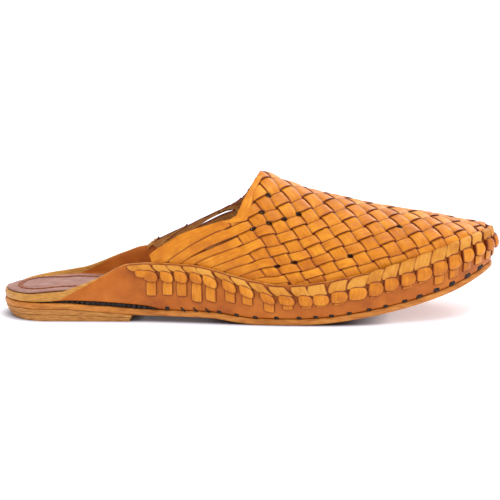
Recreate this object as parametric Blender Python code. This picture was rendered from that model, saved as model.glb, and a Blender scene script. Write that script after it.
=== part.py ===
"""A woven leather mule for the right foot, at its real size.

The frame: +X runs from the heel to the toe, +Y to the inner side of the foot, +Z up.
The shoe stands on its heel lifts and on the flat of the forefoot, both at z = 0.
All lengths are in metres. The tables hold shares of the named sizes, one row for each
station along the sole, where 0 is the back of the heel and 1 the tip of the toe.
"""

import bmesh
import bpy
import numpy as np

# Sizes of the sole
SOLE_LENGTH = 0.2650
BALL_WIDTH = 0.090
HEEL_LIFT = 0.0064
TOE_SPRING = 0.0265
OUTSOLE_THICK = 0.0033
INSOLE_THICK = 0.0042
SOCK_THICK = 0.0009
SLIT = 0.0022
CLEAR = 0.0003
HEEL_ROUND = 0.0288
HEEL_ROUND_POWER = 2.3
TOE_ROUND = 0.0266
TOE_ROUND_POWER = 2.2
BREAST_SHARE = 0.282
BREAST_SLANT = 0.002
LOWER_LIFT_SHARE = 0.52
HEEL_BACK_TUCK = 0.0035
HEEL_BACK_MIDDLE_TUCK = 0.0010
HEEL_BACK_LENGTH = 0.024
LIFT_INSET = 0.0004
LIFT_EDGE_BREAK = 0.0004

# Sizes of the turned-up side
SIDE_HEIGHT = 0.0240
WALL = 0.0022
RIM_LEAN = 0.0015
RIM_LEAN_HEIGHT = 0.008
UPRIGHT_TOE = (0.92, 1.00)
SIDE_ROUND = 0.0015
SIDE_BULGE = 0.0006
BULGE_STATIONS = (0.40, 0.60)
EDGE_BREAK = 0.0002
BOTTOM_EDGE_BREAK = 0.0012
RIM_EDGE_BREAK = 0.0003
FLOOR_FILLET = 0.0030
FILLET_EDGE = 0.0010
SOCK_INSET = 0.0015
SOCK_EDGE_BREAK = 0.0002
SOCK_NARROWS = {-1: (0.05, 0.12), 1: (-0.02, 0.025)}

# Sizes of the woven upper
INSTEP_RISE = 0.0515
UPPER_WALL = 0.0016
FLAT_TOE = (0.80, 1.00)
VAMP_FIRST_STATION = 0.25
STRIP_RISE = 0.0009
CREST_SHIFT = 0.0030
STRIP_GAP = 0.0011
SLIT_STEPS = 12
SLIT_END_HALF = 0.02
SMALLEST_EDGE = 0.00004
PILLOW_SIDE_SHARE = 0.08
PILLOW_END_SHARE = 0.20

# Sizes of the side lacing
LOOP_PITCH = 0.0088
LACE_THICK = 0.0009
LACE_START = 0.0012
LACE_TOP = 0.0034
LACE_MIDDLE = 0.0066
LACE_TAB = 0.0080
LACE_TAB_TOE_SHARE = 0.15
LACE_SLANT = 0.0022
LACE_SLANT_LENGTH = 0.02
LACE_ROOM = 0.0002
LACE_TOE_ROOM = 0.0005
LACE_TOE_THINNER = 0.40
LACE_TOE_STATIONS = (0.80, 0.97)
LACE_TAB_STATIONS = (0.45, 0.60)
LACE_FIRST_STATION = 0.272

# Half widths of the sole from its long axis, as shares of the ball width
OUTLINE = (
    # station, outer side, inner side
    (0.00, 0.330, 0.330),
    (0.10, 0.333, 0.333),
    (0.20, 0.335, 0.335),
    (0.30, 0.345, 0.320),
    (0.40, 0.385, 0.315),
    (0.50, 0.430, 0.360),
    (0.60, 0.460, 0.430),
    (0.68, 0.465, 0.480),
    (0.76, 0.440, 0.485),
    (0.84, 0.370, 0.450),
    (0.92, 0.275, 0.385),
    (1.00, 0.160, 0.300),
)

# Side profile of the outsole, from its underside up
OUTSOLE_EDGE = (
    # inset in metres, share of the thickness
    (0.0014, 0.00),
    (0.0002, 0.30),
    (-0.0002, 0.75),
    (0.0003, 1.00),
)

# One loop of the lacing under its top piece
LOOP_ROWS = (
    # share of the middle piece, share of the tab, half width in pitches, thickness in laces
    (0.35, 0.00, 0.40, 2.0),
    (1.00, 0.00, 0.36, 2.0),
    (1.00, 0.06, 0.30, 1.2),
    (1.00, 1.00, 0.28, 0.8),
)
LOOP_TOP_HALF = 0.42
LOOP_TOP_THICK = (1.0, 1.7)

# Underside of the outsole, as shares of the heel lift and of the toe spring
UNDERSIDE = (
    # station, heel share, toe share
    (0.00, 1.00, 0.00),
    (0.13, 1.00, 0.00),
    (0.19, 0.83, 0.00),
    (0.25, 0.66, 0.00),
    (0.29, 0.53, 0.00),
    (0.36, 0.50, 0.00),
    (0.43, 0.48, 0.00),
    (0.48, 0.22, 0.00),
    (0.53, 0.00, 0.00),
    (0.61, 0.00, 0.00),
    (0.66, 0.00, 0.03),
    (0.71, 0.00, 0.09),
    (0.77, 0.00, 0.19),
    (0.83, 0.00, 0.31),
    (0.89, 0.00, 0.47),
    (0.94, 0.00, 0.64),
    (0.97, 0.00, 0.77),
    (1.00, 0.00, 0.91),
)

# Height of the open slit between insole and outsole, as a share of its greatest height
SLIT_ROWS = (
    # station, share
    (0.00, 0.00),
    (0.06, 0.05),
    (0.11, 0.30),
    (0.15, 0.65),
    (0.21, 0.95),
    (0.28, 1.00),
    (0.31, 0.70),
    (0.34, 0.00),
    (1.00, 0.00),
)

# Height of the side's rim over the top of the outsole, as a share of the side height
RIM_ROWS = (
    # station, outer side, inner side
    (0.000, 0.00, 0.10),
    (0.030, 0.03, 0.22),
    (0.067, 0.07, 0.285),
    (0.100, 0.10, 0.335),
    (0.130, 0.23, 0.39),
    (0.150, 0.33, 0.44),
    (0.190, 0.53, 0.63),
    (0.211, 0.65, 0.74),
    (0.231, 0.78, 0.84),
    (0.252, 0.93, 0.94),
    (0.270, 1.00, 1.03),
    (0.312, 1.05, 1.11),
    (0.393, 1.03, 1.06),
    (0.443, 0.95, 0.95),
    (0.493, 0.88, 0.88),
    (0.536, 0.82, 0.82),
    (0.572, 0.75, 0.75),
    (0.641, 0.78, 0.78),
    (0.710, 0.83, 0.83),
    (0.768, 0.84, 0.84),
    (0.844, 0.86, 0.86),
    (0.890, 0.87, 0.87),
    (0.923, 0.87, 0.87),
    (0.965, 0.82, 0.82),
    (1.000, 0.70, 0.70),
)

# Rise of the vamp's crest over the rim, and how pointed its arch is
CREST_ROWS = (
    # station, share of the instep rise, power of the arch
    (0.250, 0.620, 1.75),
    (0.350, 0.860, 1.75),
    (0.450, 0.980, 1.75),
    (0.529, 1.000, 1.75),
    (0.573, 0.945, 1.78),
    (0.623, 0.837, 1.82),
    (0.667, 0.742, 1.88),
    (0.735, 0.590, 1.95),
    (0.815, 0.420, 2.00),
    (0.870, 0.295, 2.00),
    (0.902, 0.205, 2.00),
    (0.935, 0.105, 2.00),
    (0.978, 0.020, 2.00),
    (1.000, 0.000, 2.00),
)

# The collar's edge in the flat pattern, from the outer rim to the peak of the throat:
# shares of the girth from the crest down to the rim, against lengths from the peak
COLLAR_ROWS = (
    # distance behind the peak in metres, share on the outer side, share on the inner side
    (0.0652, 0.985, 0.995),
    (0.0512, 0.850, 0.870),
    (0.0412, 0.745, 0.785),
    (0.0322, 0.690, 0.700),
    (0.0240, 0.635, 0.615),
    (0.0202, 0.600, 0.570),
    (0.0153, 0.566, 0.515),
    (0.0117, 0.540, 0.450),
    (0.0102, 0.450, 0.420),
    (0.0064, 0.300, 0.320),
    (0.0040, 0.200, 0.220),
    (0.0016, 0.090, 0.100),
)
PEAK_X = 0.0084

# Where the strips of each family cross the crest: first, step and growth of the step
FIRST_RISING = 0.0228
STEP_RISING = 0.0116
GROWTH_RISING = 0.00014
FIRST_FALLING = -0.0195
STEP_FALLING = 0.0119
GROWTH_FALLING = -0.0001

# How a strip runs over the foot: straight over the crest, flatter towards its own rim
STRIP_SLOPE = 0.80
STRIP_BEND = 21.3
STRIP_STRAIGHT = 0.012
LAST_BEFORE_FAN_FALLING = -1
LAST_BEFORE_FAN_RISING = -5

# How the loose strips of the outer side spread towards the rim behind the weave
SPREAD_ROWS = (
    # line between two rising strips, distance that it moves down in metres
    (0.5, -0.0045),
    (1.5, 0.0016),
    (2.5, 0.0026),
    (3.5, 0.0024),
    (4.5, 0.0034),
    (5.5, 0.0026),
    (6.5, 0.0028),
    (8.5, 0.0000),
)
SPREAD_PLACES = (-0.5, 4.0)

# The two openings between loose strips
OPENINGS = (
    # family beside it (1 rising, 2 falling), line between two strips, first place, last place
    (1, 2.5, -1.25, -4.4),
    (2, 4.6, -5.2, -8.4),
)


# Tables read as smooth curves
def curve(rows, column):
    """A smooth curve through one column of a table, with no overshoot between the rows."""
    at = np.array([row[0] for row in rows])
    value = np.array([row[column] for row in rows])
    step = np.diff(at)
    rise = np.diff(value) / step
    slope = np.zeros(len(at))
    for k in range(1, len(at) - 1):
        if rise[k - 1] * rise[k] > 0:
            before = 2 * step[k] + step[k - 1]
            after = step[k] + 2 * step[k - 1]
            slope[k] = (before + after) / (before / rise[k - 1] + after / rise[k])
    slope[0] = rise[0]
    slope[-1] = rise[-1]

    def read(station):
        station = np.clip(station, at[0], at[-1])
        k = np.clip(np.searchsorted(at, station) - 1, 0, len(step) - 1)
        u = (station - at[k]) / step[k]
        start = (1 + 2 * u) * (1 - u) ** 2 * value[k] + u * (1 - u) ** 2 * step[k] * slope[k]
        end = u**2 * (3 - 2 * u) * value[k + 1] + u**2 * (u - 1) * step[k] * slope[k + 1]
        return start + end

    return read


outer_half = curve(OUTLINE, 1)
inner_half = curve(OUTLINE, 2)
heel_part = curve(UNDERSIDE, 1)
toe_part = curve(UNDERSIDE, 2)
slit_part = curve(SLIT_ROWS, 1)
rim_parts = {-1: curve(RIM_ROWS, 1), 1: curve(RIM_ROWS, 2)}
crest_part = curve(CREST_ROWS, 1)
arch_power = curve(CREST_ROWS, 2)
spread = curve(SPREAD_ROWS, 1)


def to_x(station):
    return (np.asarray(station) - 0.5) * SOLE_LENGTH


def to_station(x):
    return np.asarray(x) / SOLE_LENGTH + 0.5


def ease(value, low, high):
    """0 below low, 1 above high, and a smooth step between them."""
    u = np.clip((np.asarray(value) - low) / (high - low), 0, 1)
    return u * u * (3 - 2 * u)


# Heights of the layers at a station
def underside(station):
    return HEEL_LIFT * heel_part(station) + TOE_SPRING * toe_part(station)


def seat(station):
    return underside(station) + OUTSOLE_THICK


def insole_under(station):
    return seat(station) + CLEAR + SLIT * slit_part(station)


def floor_top(station):
    return insole_under(station) + INSOLE_THICK


def rim_top(station, side):
    return np.maximum(floor_top(station), seat(station) + SIDE_HEIGHT * rim_parts[side](station))


def wall_height(station, side):
    return rim_top(station, side) - floor_top(station)


def lean(station, side):
    return RIM_LEAN * ease(wall_height(station, side), 0, RIM_LEAN_HEIGHT) * (1 - ease(station, *UPRIGHT_TOE))


def bulge(station):
    return SIDE_BULGE * ease(station, *BULGE_STATIONS)


# Plan outline of the sole
def end_rounding(station):
    heel = np.clip(1 - station * SOLE_LENGTH / HEEL_ROUND, 0, 1)
    toe = np.clip(1 - (1 - station) * SOLE_LENGTH / TOE_ROUND, 0, 1)
    return np.sqrt(1 - heel**HEEL_ROUND_POWER) * np.sqrt(np.clip(1 - toe**TOE_ROUND_POWER, 0, 1))


def outline_y(station):
    outer = outer_half(station) * BALL_WIDTH
    inner = inner_half(station) * BALL_WIDTH
    middle = (inner - outer) / 2
    half = (outer + inner) / 2 * end_rounding(station)
    return middle - half, middle + half


FINE = (1 - np.cos(np.linspace(0, np.pi, 1201))) / 2


def side_path(side):
    """Fine points of one side of the outline, with the unit normals that point outward."""
    y = outline_y(FINE)[0 if side < 0 else 1]
    x = to_x(FINE)
    run = np.gradient(x)
    rise = np.gradient(y)
    length = np.hypot(run, rise)
    normal = np.stack([-rise / length, run / length], axis=1) * side
    return np.stack([x, y], axis=1), normal


PATHS = {side: side_path(side) for side in (-1, 1)}


def edge_point(station, side, inset):
    """A plan point of the outline at a station, moved inward by the inset."""
    points, normals = PATHS[side]
    place = np.array([np.interp(station, FINE, points[:, k]) for k in (0, 1)])
    normal = np.array([np.interp(station, FINE, normals[:, k]) for k in (0, 1)])
    return place - normal / np.linalg.norm(normal) * inset


def stations(count, first=0.0, last=1.0, round_toe=True):
    """Stations from the heel, closer together at the heel and, if it is round, at the toe."""
    turn = np.pi if round_toe else np.pi * 0.62
    angle = np.linspace(0, turn, count + 1)
    share = (1 - np.cos(angle)) / (1 - np.cos(turn))
    return first + (last - first) * share


SOLE_STATIONS = stations(36)


def ring(inset, height, steps=SOLE_STATIONS, round_toe=True):
    """A closed loop of points: the heel, the outer side, the toe and back on the inner side.

    The inset and the height are functions of the station and the side."""
    heel = edge_point(steps[0], -1, 0.0)
    loop = [(heel[0] + inset(steps[0], -1), heel[1], height(steps[0], -1))]
    last = len(steps) - 1 if round_toe else len(steps)
    for side, order in ((-1, steps[1:last]), (1, steps[1:last][::-1])):
        if side == 1 and round_toe:
            toe = edge_point(steps[-1], -1, 0.0)
            loop.append((toe[0] - inset(steps[-1], -1), toe[1], height(steps[-1], -1)))
        for station in order:
            x, y = edge_point(station, side, inset(station, side))
            loop.append((x, y, height(station, side)))
    return loop


# Meshes and objects
def material(name, colour, roughness):
    made = bpy.data.materials.new(name)
    made.use_nodes = True
    shader = made.node_tree.nodes["Principled BSDF"]
    shader.inputs["Base Color"].default_value = (*colour, 1.0)
    shader.inputs["Roughness"].default_value = roughness
    shader.inputs["Metallic"].default_value = 0.0
    made.diffuse_color = (*colour, 1.0)
    return made


def add_object(name, mesh, collection, look):
    mesh.materials.clear()
    mesh.materials.append(look)
    made = bpy.data.objects.new(name, mesh)
    collection.objects.link(made)
    return made


def mesh_from(name, build):
    """A mesh made by a function that fills an empty bmesh, with all its faces turned outward."""
    work = bmesh.new()
    build(work)
    bmesh.ops.recalc_face_normals(work, faces=work.faces)
    mesh = bpy.data.meshes.new(name)
    work.to_mesh(mesh)
    work.free()
    return mesh


def cross_faces(work, loop, round_toe=True):
    """Closes a loop with faces that run straight across the sole from side to side."""
    count = len(loop)
    inner = count - 1
    outer = 1
    work.faces.new((loop[0], loop[outer], loop[inner]))
    while inner - outer > 2:
        work.faces.new((loop[outer], loop[outer + 1], loop[inner - 1], loop[inner]))
        outer += 1
        inner -= 1
    if round_toe:
        work.faces.new((loop[outer], loop[outer + 1], loop[inner]))


def stacked_rings(rings, round_toe=True):
    """A closed solid through loops of equal length, closed straight across at both ends."""

    def build(work):
        loops = [[work.verts.new(point) for point in points] for points in rings]
        count = len(loops[0])
        for low, high in zip(loops, loops[1:]):
            for k in range(count):
                after = (k + 1) % count
                work.faces.new((low[k], low[after], high[after], high[k]))
        cross_faces(work, loops[0], round_toe)
        cross_faces(work, loops[-1], round_toe)

    return build


# The outsole
def outsole_mesh():
    def edge(inset, share):
        return ring(lambda s, side: inset, lambda s, side: underside(s) + OUTSOLE_THICK * share)

    return mesh_from("outsole", stacked_rings([edge(*row) for row in OUTSOLE_EDGE]))


# The heel lifts
def lift_ring(inset, tuck, height, breast):
    def whole_inset(station, side):
        back = 1 - ease(station * SOLE_LENGTH, 0, HEEL_BACK_LENGTH)
        return inset + tuck * back

    steps = stations(14, 0.0, breast, round_toe=False)
    return ring(whole_inset, height, steps, round_toe=False)


def lift_mesh(name, low_share, high_share, low_tuck, high_tuck, gap_below, gap_above):
    """One leather lift, a wedge between two shares of the heel's height."""
    breast_low = BREAST_SHARE - BREAST_SLANT / SOLE_LENGTH * (1 - low_share)
    breast_high = BREAST_SHARE - BREAST_SLANT / SOLE_LENGTH * (1 - high_share)
    low_inset = LIFT_INSET + LIFT_EDGE_BREAK

    def low_height(station, side):
        return underside(station) * low_share + gap_below

    def high_height(station, side):
        return underside(station) * high_share - gap_above

    low = lift_ring(low_inset, low_tuck, low_height, breast_low)
    high = lift_ring(LIFT_INSET, high_tuck, high_height, breast_high)
    return mesh_from(name, stacked_rings([low, high], round_toe=False))


# The insole with its turned-up side
def insole_mesh():
    def under(station, side):
        return insole_under(station)

    def side_foot(station, side):
        return insole_under(station) + min(SIDE_ROUND, 0.4 * INSOLE_THICK)

    def side_middle(station, side):
        return (side_foot(station, side) + rim_top(station, side)) / 2

    def inner_foot(station, side):
        return floor_top(station) + min(SIDE_ROUND, 0.5 * float(wall_height(station, side)))

    def floor(station, side):
        return floor_top(station)

    rings = [
        ring(lambda s, side: BOTTOM_EDGE_BREAK, under),
        ring(lambda s, side: EDGE_BREAK, side_foot),
        ring(lambda s, side: -float(bulge(s)), side_middle),
        ring(lambda s, side: RIM_EDGE_BREAK + float(lean(s, side)), rim_top),
        ring(lambda s, side: WALL + float(lean(s, side)), rim_top),
        ring(lambda s, side: WALL + FILLET_EDGE, inner_foot),
        ring(lambda s, side: WALL + FLOOR_FILLET, floor),
    ]
    return mesh_from("insole", stacked_rings(rings))


# The thin sock on the insole
def sock_inset(station, side):
    """Near the edge at the open heel, and clear of the side's fillet where the side stands."""
    return SOCK_INSET + (WALL + FLOOR_FILLET - FILLET_EDGE) * float(ease(station, *SOCK_NARROWS[side]))


def sock_mesh():
    def high_inset(station, side):
        return sock_inset(station, side) + SOCK_EDGE_BREAK

    low = ring(sock_inset, lambda s, side: floor_top(s) + CLEAR)
    high = ring(high_inset, lambda s, side: floor_top(s) + CLEAR + SOCK_THICK)
    return mesh_from("sock", stacked_rings([low, high]))


# The lacing round the side
def lacing_path():
    """Stations and sides along the rim from the outer wing round the toe to the inner wing."""
    steps = FINE[FINE >= LACE_FIRST_STATION]
    return [(s, -1) for s in steps[:-1]] + [(s, 1) for s in steps[::-1]]


def wall_point(station, side, drop, out):
    """A point outside the side wall, at a drop below the rim and a distance out of the wall.

    The straight pieces of lace need more room round the toe."""
    foot = insole_under(station) + SIDE_ROUND
    top = rim_top(station, side)
    at_toe = ease(station, *LACE_TOE_STATIONS)
    out = out * (1 - LACE_TOE_THINNER * at_toe) + LACE_ROOM + LACE_TOE_ROOM * at_toe
    share = 1 - drop / (top - foot)
    if share > 0.5:
        part = (share - 0.5) * 2
        inset = -bulge(station) * (1 - part) + (RIM_EDGE_BREAK + lean(station, side)) * part
    else:
        part = max(share, 0) * 2
        inset = EDGE_BREAK * (1 - part) - bulge(station) * part
    x, y = edge_point(station, side, float(inset) - out)
    return x, y, float(top - drop)


def with_level_at(drop, levels):
    """The levels of a loop with one more where the wall bends, unless a level lies there."""
    split = []
    for above, below in zip(levels, levels[1:]):
        split.append(above)
        if above[0] + CLEAR < drop < below[0] - CLEAR:
            part = (drop - above[0]) / (below[0] - above[0])
            split.append(tuple(a + (b - a) * part for a, b in zip(above, below)))
    return split + [levels[-1]]


def lacing_mesh():
    path = lacing_path()
    plan = np.array([edge_point(s, side, 0.0) for s, side in path])
    along = np.concatenate([[0], np.cumsum(np.hypot(*np.diff(plan, axis=0).T))])
    total = along[-1]
    count = int(round(total / LOOP_PITCH))
    pitch = total / count
    station_at = np.array([s for s, _ in path])
    toe_at = along[int(np.argmax(station_at))]

    def place(distance, drop, out):
        distance = float(np.clip(distance, 0, total))
        side = -1 if distance < toe_at else 1
        station = float(np.interp(distance, along, station_at))
        return wall_point(station, side, drop, out)

    def build(work):
        columns = []
        for k in range(count):
            middle = (k + 0.5) * pitch
            for way, thick in zip((-1, 1), LOOP_TOP_THICK):
                columns.append((middle + way * LOOP_TOP_HALF * pitch, LACE_THICK * thick))
        low = LACE_START + LACE_TOP
        strip = []
        for distance, thick in columns:
            shift = -LACE_SLANT * np.tanh((toe_at - distance) / LACE_SLANT_LENGTH)
            corners = (
                (distance + shift, LACE_START, CLEAR),
                (distance + shift, LACE_START, CLEAR + thick),
                (distance, low, CLEAR + thick),
                (distance, low, CLEAR),
            )
            strip.append([work.verts.new(place(*corner)) for corner in corners])
        for first, second in zip(strip, strip[1:]):
            for a, b in ((0, 1), (1, 2), (3, 0)):
                work.faces.new((first[a], first[b], second[b], second[a]))
        work.faces.new(strip[0])
        work.faces.new(strip[-1][::-1])
        for first, second in zip(strip[1:-1:2], strip[2:-1:2]):
            work.faces.new((first[2], first[3], second[3], second[2]))
        for k in range(count):
            middle = (k + 0.5) * pitch
            station = float(np.interp(middle, along, station_at))
            side = -1 if middle < toe_at else 1
            wall = float(rim_top(station, side) - insole_under(station)) - SIDE_ROUND
            rear = 1 - float(ease(station, *LACE_TAB_STATIONS))
            tab = LACE_TAB * (LACE_TAB_TOE_SHARE + (1 - LACE_TAB_TOE_SHARE) * rear)
            tab = max(min(tab, wall - low - LACE_MIDDLE - CLEAR), LACE_THICK)
            levels = [(low, LOOP_TOP_HALF, sum(LOOP_TOP_THICK) / 2)]
            for middle_share, tab_share, half, thick in LOOP_ROWS:
                levels.append((low + LACE_MIDDLE * middle_share + tab * tab_share, half, thick))
            levels = with_level_at(wall / 2, levels)[1:]
            left, right = strip[2 * k], strip[2 * k + 1]
            before = [left[3], left[2], right[2], right[3]]
            for drop, half, thick in levels:
                ends = (middle - half * pitch, middle + half * pitch)
                corners = (
                    (ends[0], drop, CLEAR),
                    (ends[0], drop, CLEAR + LACE_THICK * thick),
                    (ends[1], drop, CLEAR + LACE_THICK * thick),
                    (ends[1], drop, CLEAR),
                )
                after = [work.verts.new(place(*corner)) for corner in corners]
                for a in range(4):
                    b = (a + 1) % 4
                    work.faces.new((before[a], before[b], after[b], after[a]))
                before = after
            work.faces.new(before)

    return mesh_from("lacing", build)


# The vamp's inner surface: arches across the foot, laid over the rim
ARCH_ANGLES = np.linspace(0, np.pi, 61)


def vamp_inset(station):
    """How far the vamp's inner face stands in from the outline at the rim."""
    upright = 1 - ease(station, *FLAT_TOE)
    leaning = 1 - ease(station, *UPRIGHT_TOE)
    return RIM_LEAN * leaning + WALL + CLEAR + UPPER_WALL * upright


def rim_chord(station, side):
    """The rim's height as its straight facets have it."""
    return np.interp(station, SOLE_STATIONS, rim_top(SOLE_STATIONS, side))


def vamp_sections():
    feet = {side: np.array([edge_point(s, side, float(vamp_inset(s))) for s in FINE]) for side in (-1, 1)}
    rims = {side: rim_chord(FINE, side) + CLEAR for side in (-1, 1)}
    first = float(to_x(VAMP_FIRST_STATION))
    last = min(feet[-1][:, 0].max(), feet[1][:, 0].max()) - 1e-5
    turn = np.linspace(0, np.pi / 2, 240)
    sections = []
    for x in first + (last - first) * np.sin(turn):
        station = float(to_station(x))
        outer = np.interp(x, feet[-1][:, 0], feet[-1][:, 1])
        inner = np.interp(x, feet[1][:, 0], feet[1][:, 1])
        power = 2 / float(arch_power(station))
        across = np.sign(np.cos(ARCH_ANGLES)) * np.abs(np.cos(ARCH_ANGLES)) ** power
        up = np.abs(np.sin(ARCH_ANGLES)) ** power
        crest = float(crest_part(station))
        y = (outer + inner) / 2 - (inner - outer) / 2 * across + CREST_SHIFT * crest * up
        low_outer = np.interp(x, feet[-1][:, 0], rims[-1])
        low_inner = np.interp(x, feet[1][:, 0], rims[1])
        low = (low_outer + low_inner) / 2 - (low_inner - low_outer) / 2 * across
        z = low + INSTEP_RISE * crest * up
        girth = np.concatenate([[0], np.cumsum(np.hypot(np.diff(y), np.diff(z)))])
        sections.append((x, y, z, girth - girth[len(girth) // 2]))
    return sections


SECTIONS = vamp_sections()
SECTION_X = np.array([section[0] for section in SECTIONS])


def half_girths(x):
    """The girth from the crest down to the rim, on the outer and on the inner side."""
    outer = np.interp(x, SECTION_X, [-section[3][0] for section in SECTIONS])
    inner = np.interp(x, SECTION_X, [section[3][-1] for section in SECTIONS])
    return float(outer), float(inner)


def vamp_point(x, girth):
    """The point of the vamp's inner surface at a length and at a girth from the crest."""
    k = int(np.clip(np.searchsorted(SECTION_X, x) - 1, 0, len(SECTION_X) - 2))
    part = np.clip((x - SECTION_X[k]) / (SECTION_X[k + 1] - SECTION_X[k]), 0, 1)
    ends = []
    for section in SECTIONS[k : k + 2]:
        limit = np.clip(girth, section[3][0], section[3][-1])
        ends.append([np.interp(limit, section[3], section[1]), np.interp(limit, section[3], section[2])])
    y, z = np.array(ends[0]) * (1 - part) + np.array(ends[1]) * part
    return np.array([x, y, z])


def vamp_normal(x, girth):
    """The outward normal, from one step across the foot and one along it at the same share."""
    step = 0.0006
    outer, inner = half_girths(x)
    low = np.clip(girth, -outer, inner - step)
    across = vamp_point(x, low + step) - vamp_point(x, low)
    side = 0 if girth < 0 else 1
    share = girth / half_girths(x)[side]
    near = min(max(x, SECTION_X[0] + step), SECTION_X[-1] - step)
    ends = [vamp_point(near + way * step, share * half_girths(near + way * step)[side]) for way in (-1, 1)]
    normal = np.cross(ends[1] - ends[0], across)
    return normal / np.linalg.norm(normal)


# The weave in the flat pattern
def strip_shift(girth):
    """How far forward of its crest crossing a strip of the rising family lies at a girth."""
    flatter = max(0.0, -girth - STRIP_STRAIGHT)
    return STRIP_SLOPE * girth - STRIP_BEND * flatter**2


def crest_rising(number):
    return FIRST_RISING + STEP_RISING * number + GROWTH_RISING * number**2


def crest_falling(number):
    return FIRST_FALLING + STEP_FALLING * number + GROWTH_FALLING * number**2


def crossing(rising, falling):
    """Where two strips meet in the flat pattern, as a length and a girth."""
    apart = crest_falling(falling) - crest_rising(rising)
    straight = 2 * STRIP_SLOPE * STRIP_STRAIGHT
    girth = abs(apart) / (2 * STRIP_SLOPE)
    if abs(apart) > straight:
        root = np.sqrt(4 * STRIP_SLOPE**2 + 4 * STRIP_BEND * (abs(apart) - straight))
        girth = STRIP_STRAIGHT + (root - 2 * STRIP_SLOPE) / (2 * STRIP_BEND)
    girth *= np.sign(apart)
    x = crest_rising(rising) + strip_shift(girth)
    if girth < 0:
        girth -= float(spread(rising) * ease(-falling, *SPREAD_PLACES))
    return x, girth


RISING = range(-12, 12)
FALLING = range(-8, 18)


def fan_strip(rising, falling):
    """Which family alone makes a cell behind the weave: 1 rising, 2 falling, 0 in the weave."""
    if falling < LAST_BEFORE_FAN_FALLING:
        return 1
    return 2 if rising < LAST_BEFORE_FAN_RISING else 0


def fan_next(rising, falling):
    """The same for a neighbouring cell, which is 0 past the last strips."""
    inside = rising in RISING and falling in FALLING
    return fan_strip(rising, falling) if inside else 0


def on_top(rising, falling):
    """Which strip lies on top in a cell: 1 the rising one, 2 the falling one."""
    alone = fan_strip(rising, falling)
    if alone:
        return alone
    return 1 if (rising + falling) % 2 else 2


def flat_weave():
    """The flat wall with its strips raised, one pillow for each place where a strip is on top."""
    high = UPPER_WALL + STRIP_RISE

    def build(work):
        corners = {}
        for a in list(RISING) + [RISING[-1] + 1]:
            for b in list(FALLING) + [FALLING[-1] + 1]:
                x, girth = crossing(a - 0.5, b - 0.5)
                corners[a, b] = (work.verts.new((x, girth, 0)), work.verts.new((x, girth, UPPER_WALL)))
        shared = {}

        def raised(key, rising, falling):
            if key not in shared:
                x, girth = crossing(rising, falling)
                shared[key] = work.verts.new((x, girth, high))
            return shared[key]

        for a in RISING:
            for b in FALLING:
                top = on_top(a, b)
                alone = fan_strip(a, b)
                across = PILLOW_SIDE_SHARE if top == 1 else PILLOW_END_SHARE
                length = PILLOW_END_SHARE if top == 1 else PILLOW_SIDE_SHARE
                pillow = []
                for u, v in ((-1, -1), (1, -1), (1, 1), (-1, 1)):
                    rising = a + u * (0.5 - across)
                    falling = b + v * (0.5 - length)
                    key = (a, b, u, v)
                    if alone == 1 and fan_next(a, b + v) == 1:
                        falling = b + v * 0.5
                        key = ("r", a, b + v * 0.5, u)
                    if alone == 2 and fan_next(a + u, b) == 2:
                        rising = a + u * 0.5
                        key = ("f", a + u * 0.5, b, v)
                    pillow.append(raised(key, rising, falling))
                frame = [corners[a, b], corners[a + 1, b], corners[a + 1, b + 1], corners[a, b + 1]]
                work.faces.new(pillow)
                joined = {
                    0: alone == 1 and fan_next(a, b - 1) == 1,
                    1: alone == 2 and fan_next(a + 1, b) == 2,
                    2: alone == 1 and fan_next(a, b + 1) == 1,
                    3: alone == 2 and fan_next(a - 1, b) == 2,
                }
                for k in range(4):
                    n = (k + 1) % 4
                    if not joined[k]:
                        work.faces.new((frame[k][1], frame[n][1], pillow[n], pillow[k]))
                work.faces.new([pair[0] for pair in frame])
        edge_a = list(RISING) + [RISING[-1] + 1]
        edge_b = list(FALLING) + [FALLING[-1] + 1]
        border = [(a, edge_b[0]) for a in edge_a]
        border += [(edge_a[-1], b) for b in edge_b[1:]]
        border += [(a, edge_b[-1]) for a in edge_a[-2::-1]]
        border += [(edge_a[0], b) for b in edge_b[-2:0:-1]]
        for here, there in zip(border, border[1:] + border[:1]):
            low, high_corner = corners[here]
            next_low, next_high = corners[there]
            work.faces.new((low, next_low, next_high, high_corner))

    return mesh_from("flat weave", build)


# The outline of the flat pattern and the slits between the loose strips
def pattern_outline():
    collar = [(PEAK_X - behind, outer, inner) for behind, outer, inner in COLLAR_ROWS]
    rim_x = np.linspace(collar[0][0] + 0.004, SECTION_X[-1] - 0.012, 30)
    tip_x = SECTION_X[-1] - 0.0010 - 0.011 * (1 - np.sin(np.linspace(0.1, np.pi / 2, 8)))
    lengths = list(rim_x) + list(tip_x)
    points = [(x, -half_girths(x)[0] * share) for x, share, _ in collar[::-1]]
    points += [(x, -half_girths(x)[0]) for x in lengths]
    points += [(x, half_girths(x)[1]) for x in lengths[::-1]]
    points += [(x, half_girths(x)[1] * share) for x, _, share in collar]
    points.append((PEAK_X, 0.0))
    return points


def slit_outline(family, line, first, last):
    """A slit along the line between two loose strips, widest in its middle."""
    sides = ([], [])
    for share in np.linspace(0, 1, SLIT_STEPS):
        place = first + (last - first) * share
        half = STRIP_GAP / STEP_RISING * np.sin(np.pi * share)
        for side, way in zip(sides, (-1, 1)):
            across = line + way * max(half, SLIT_END_HALF)
            side.append(crossing(across, place) if family == 1 else crossing(place, across))
    return sides[0] + sides[1][::-1]


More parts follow.
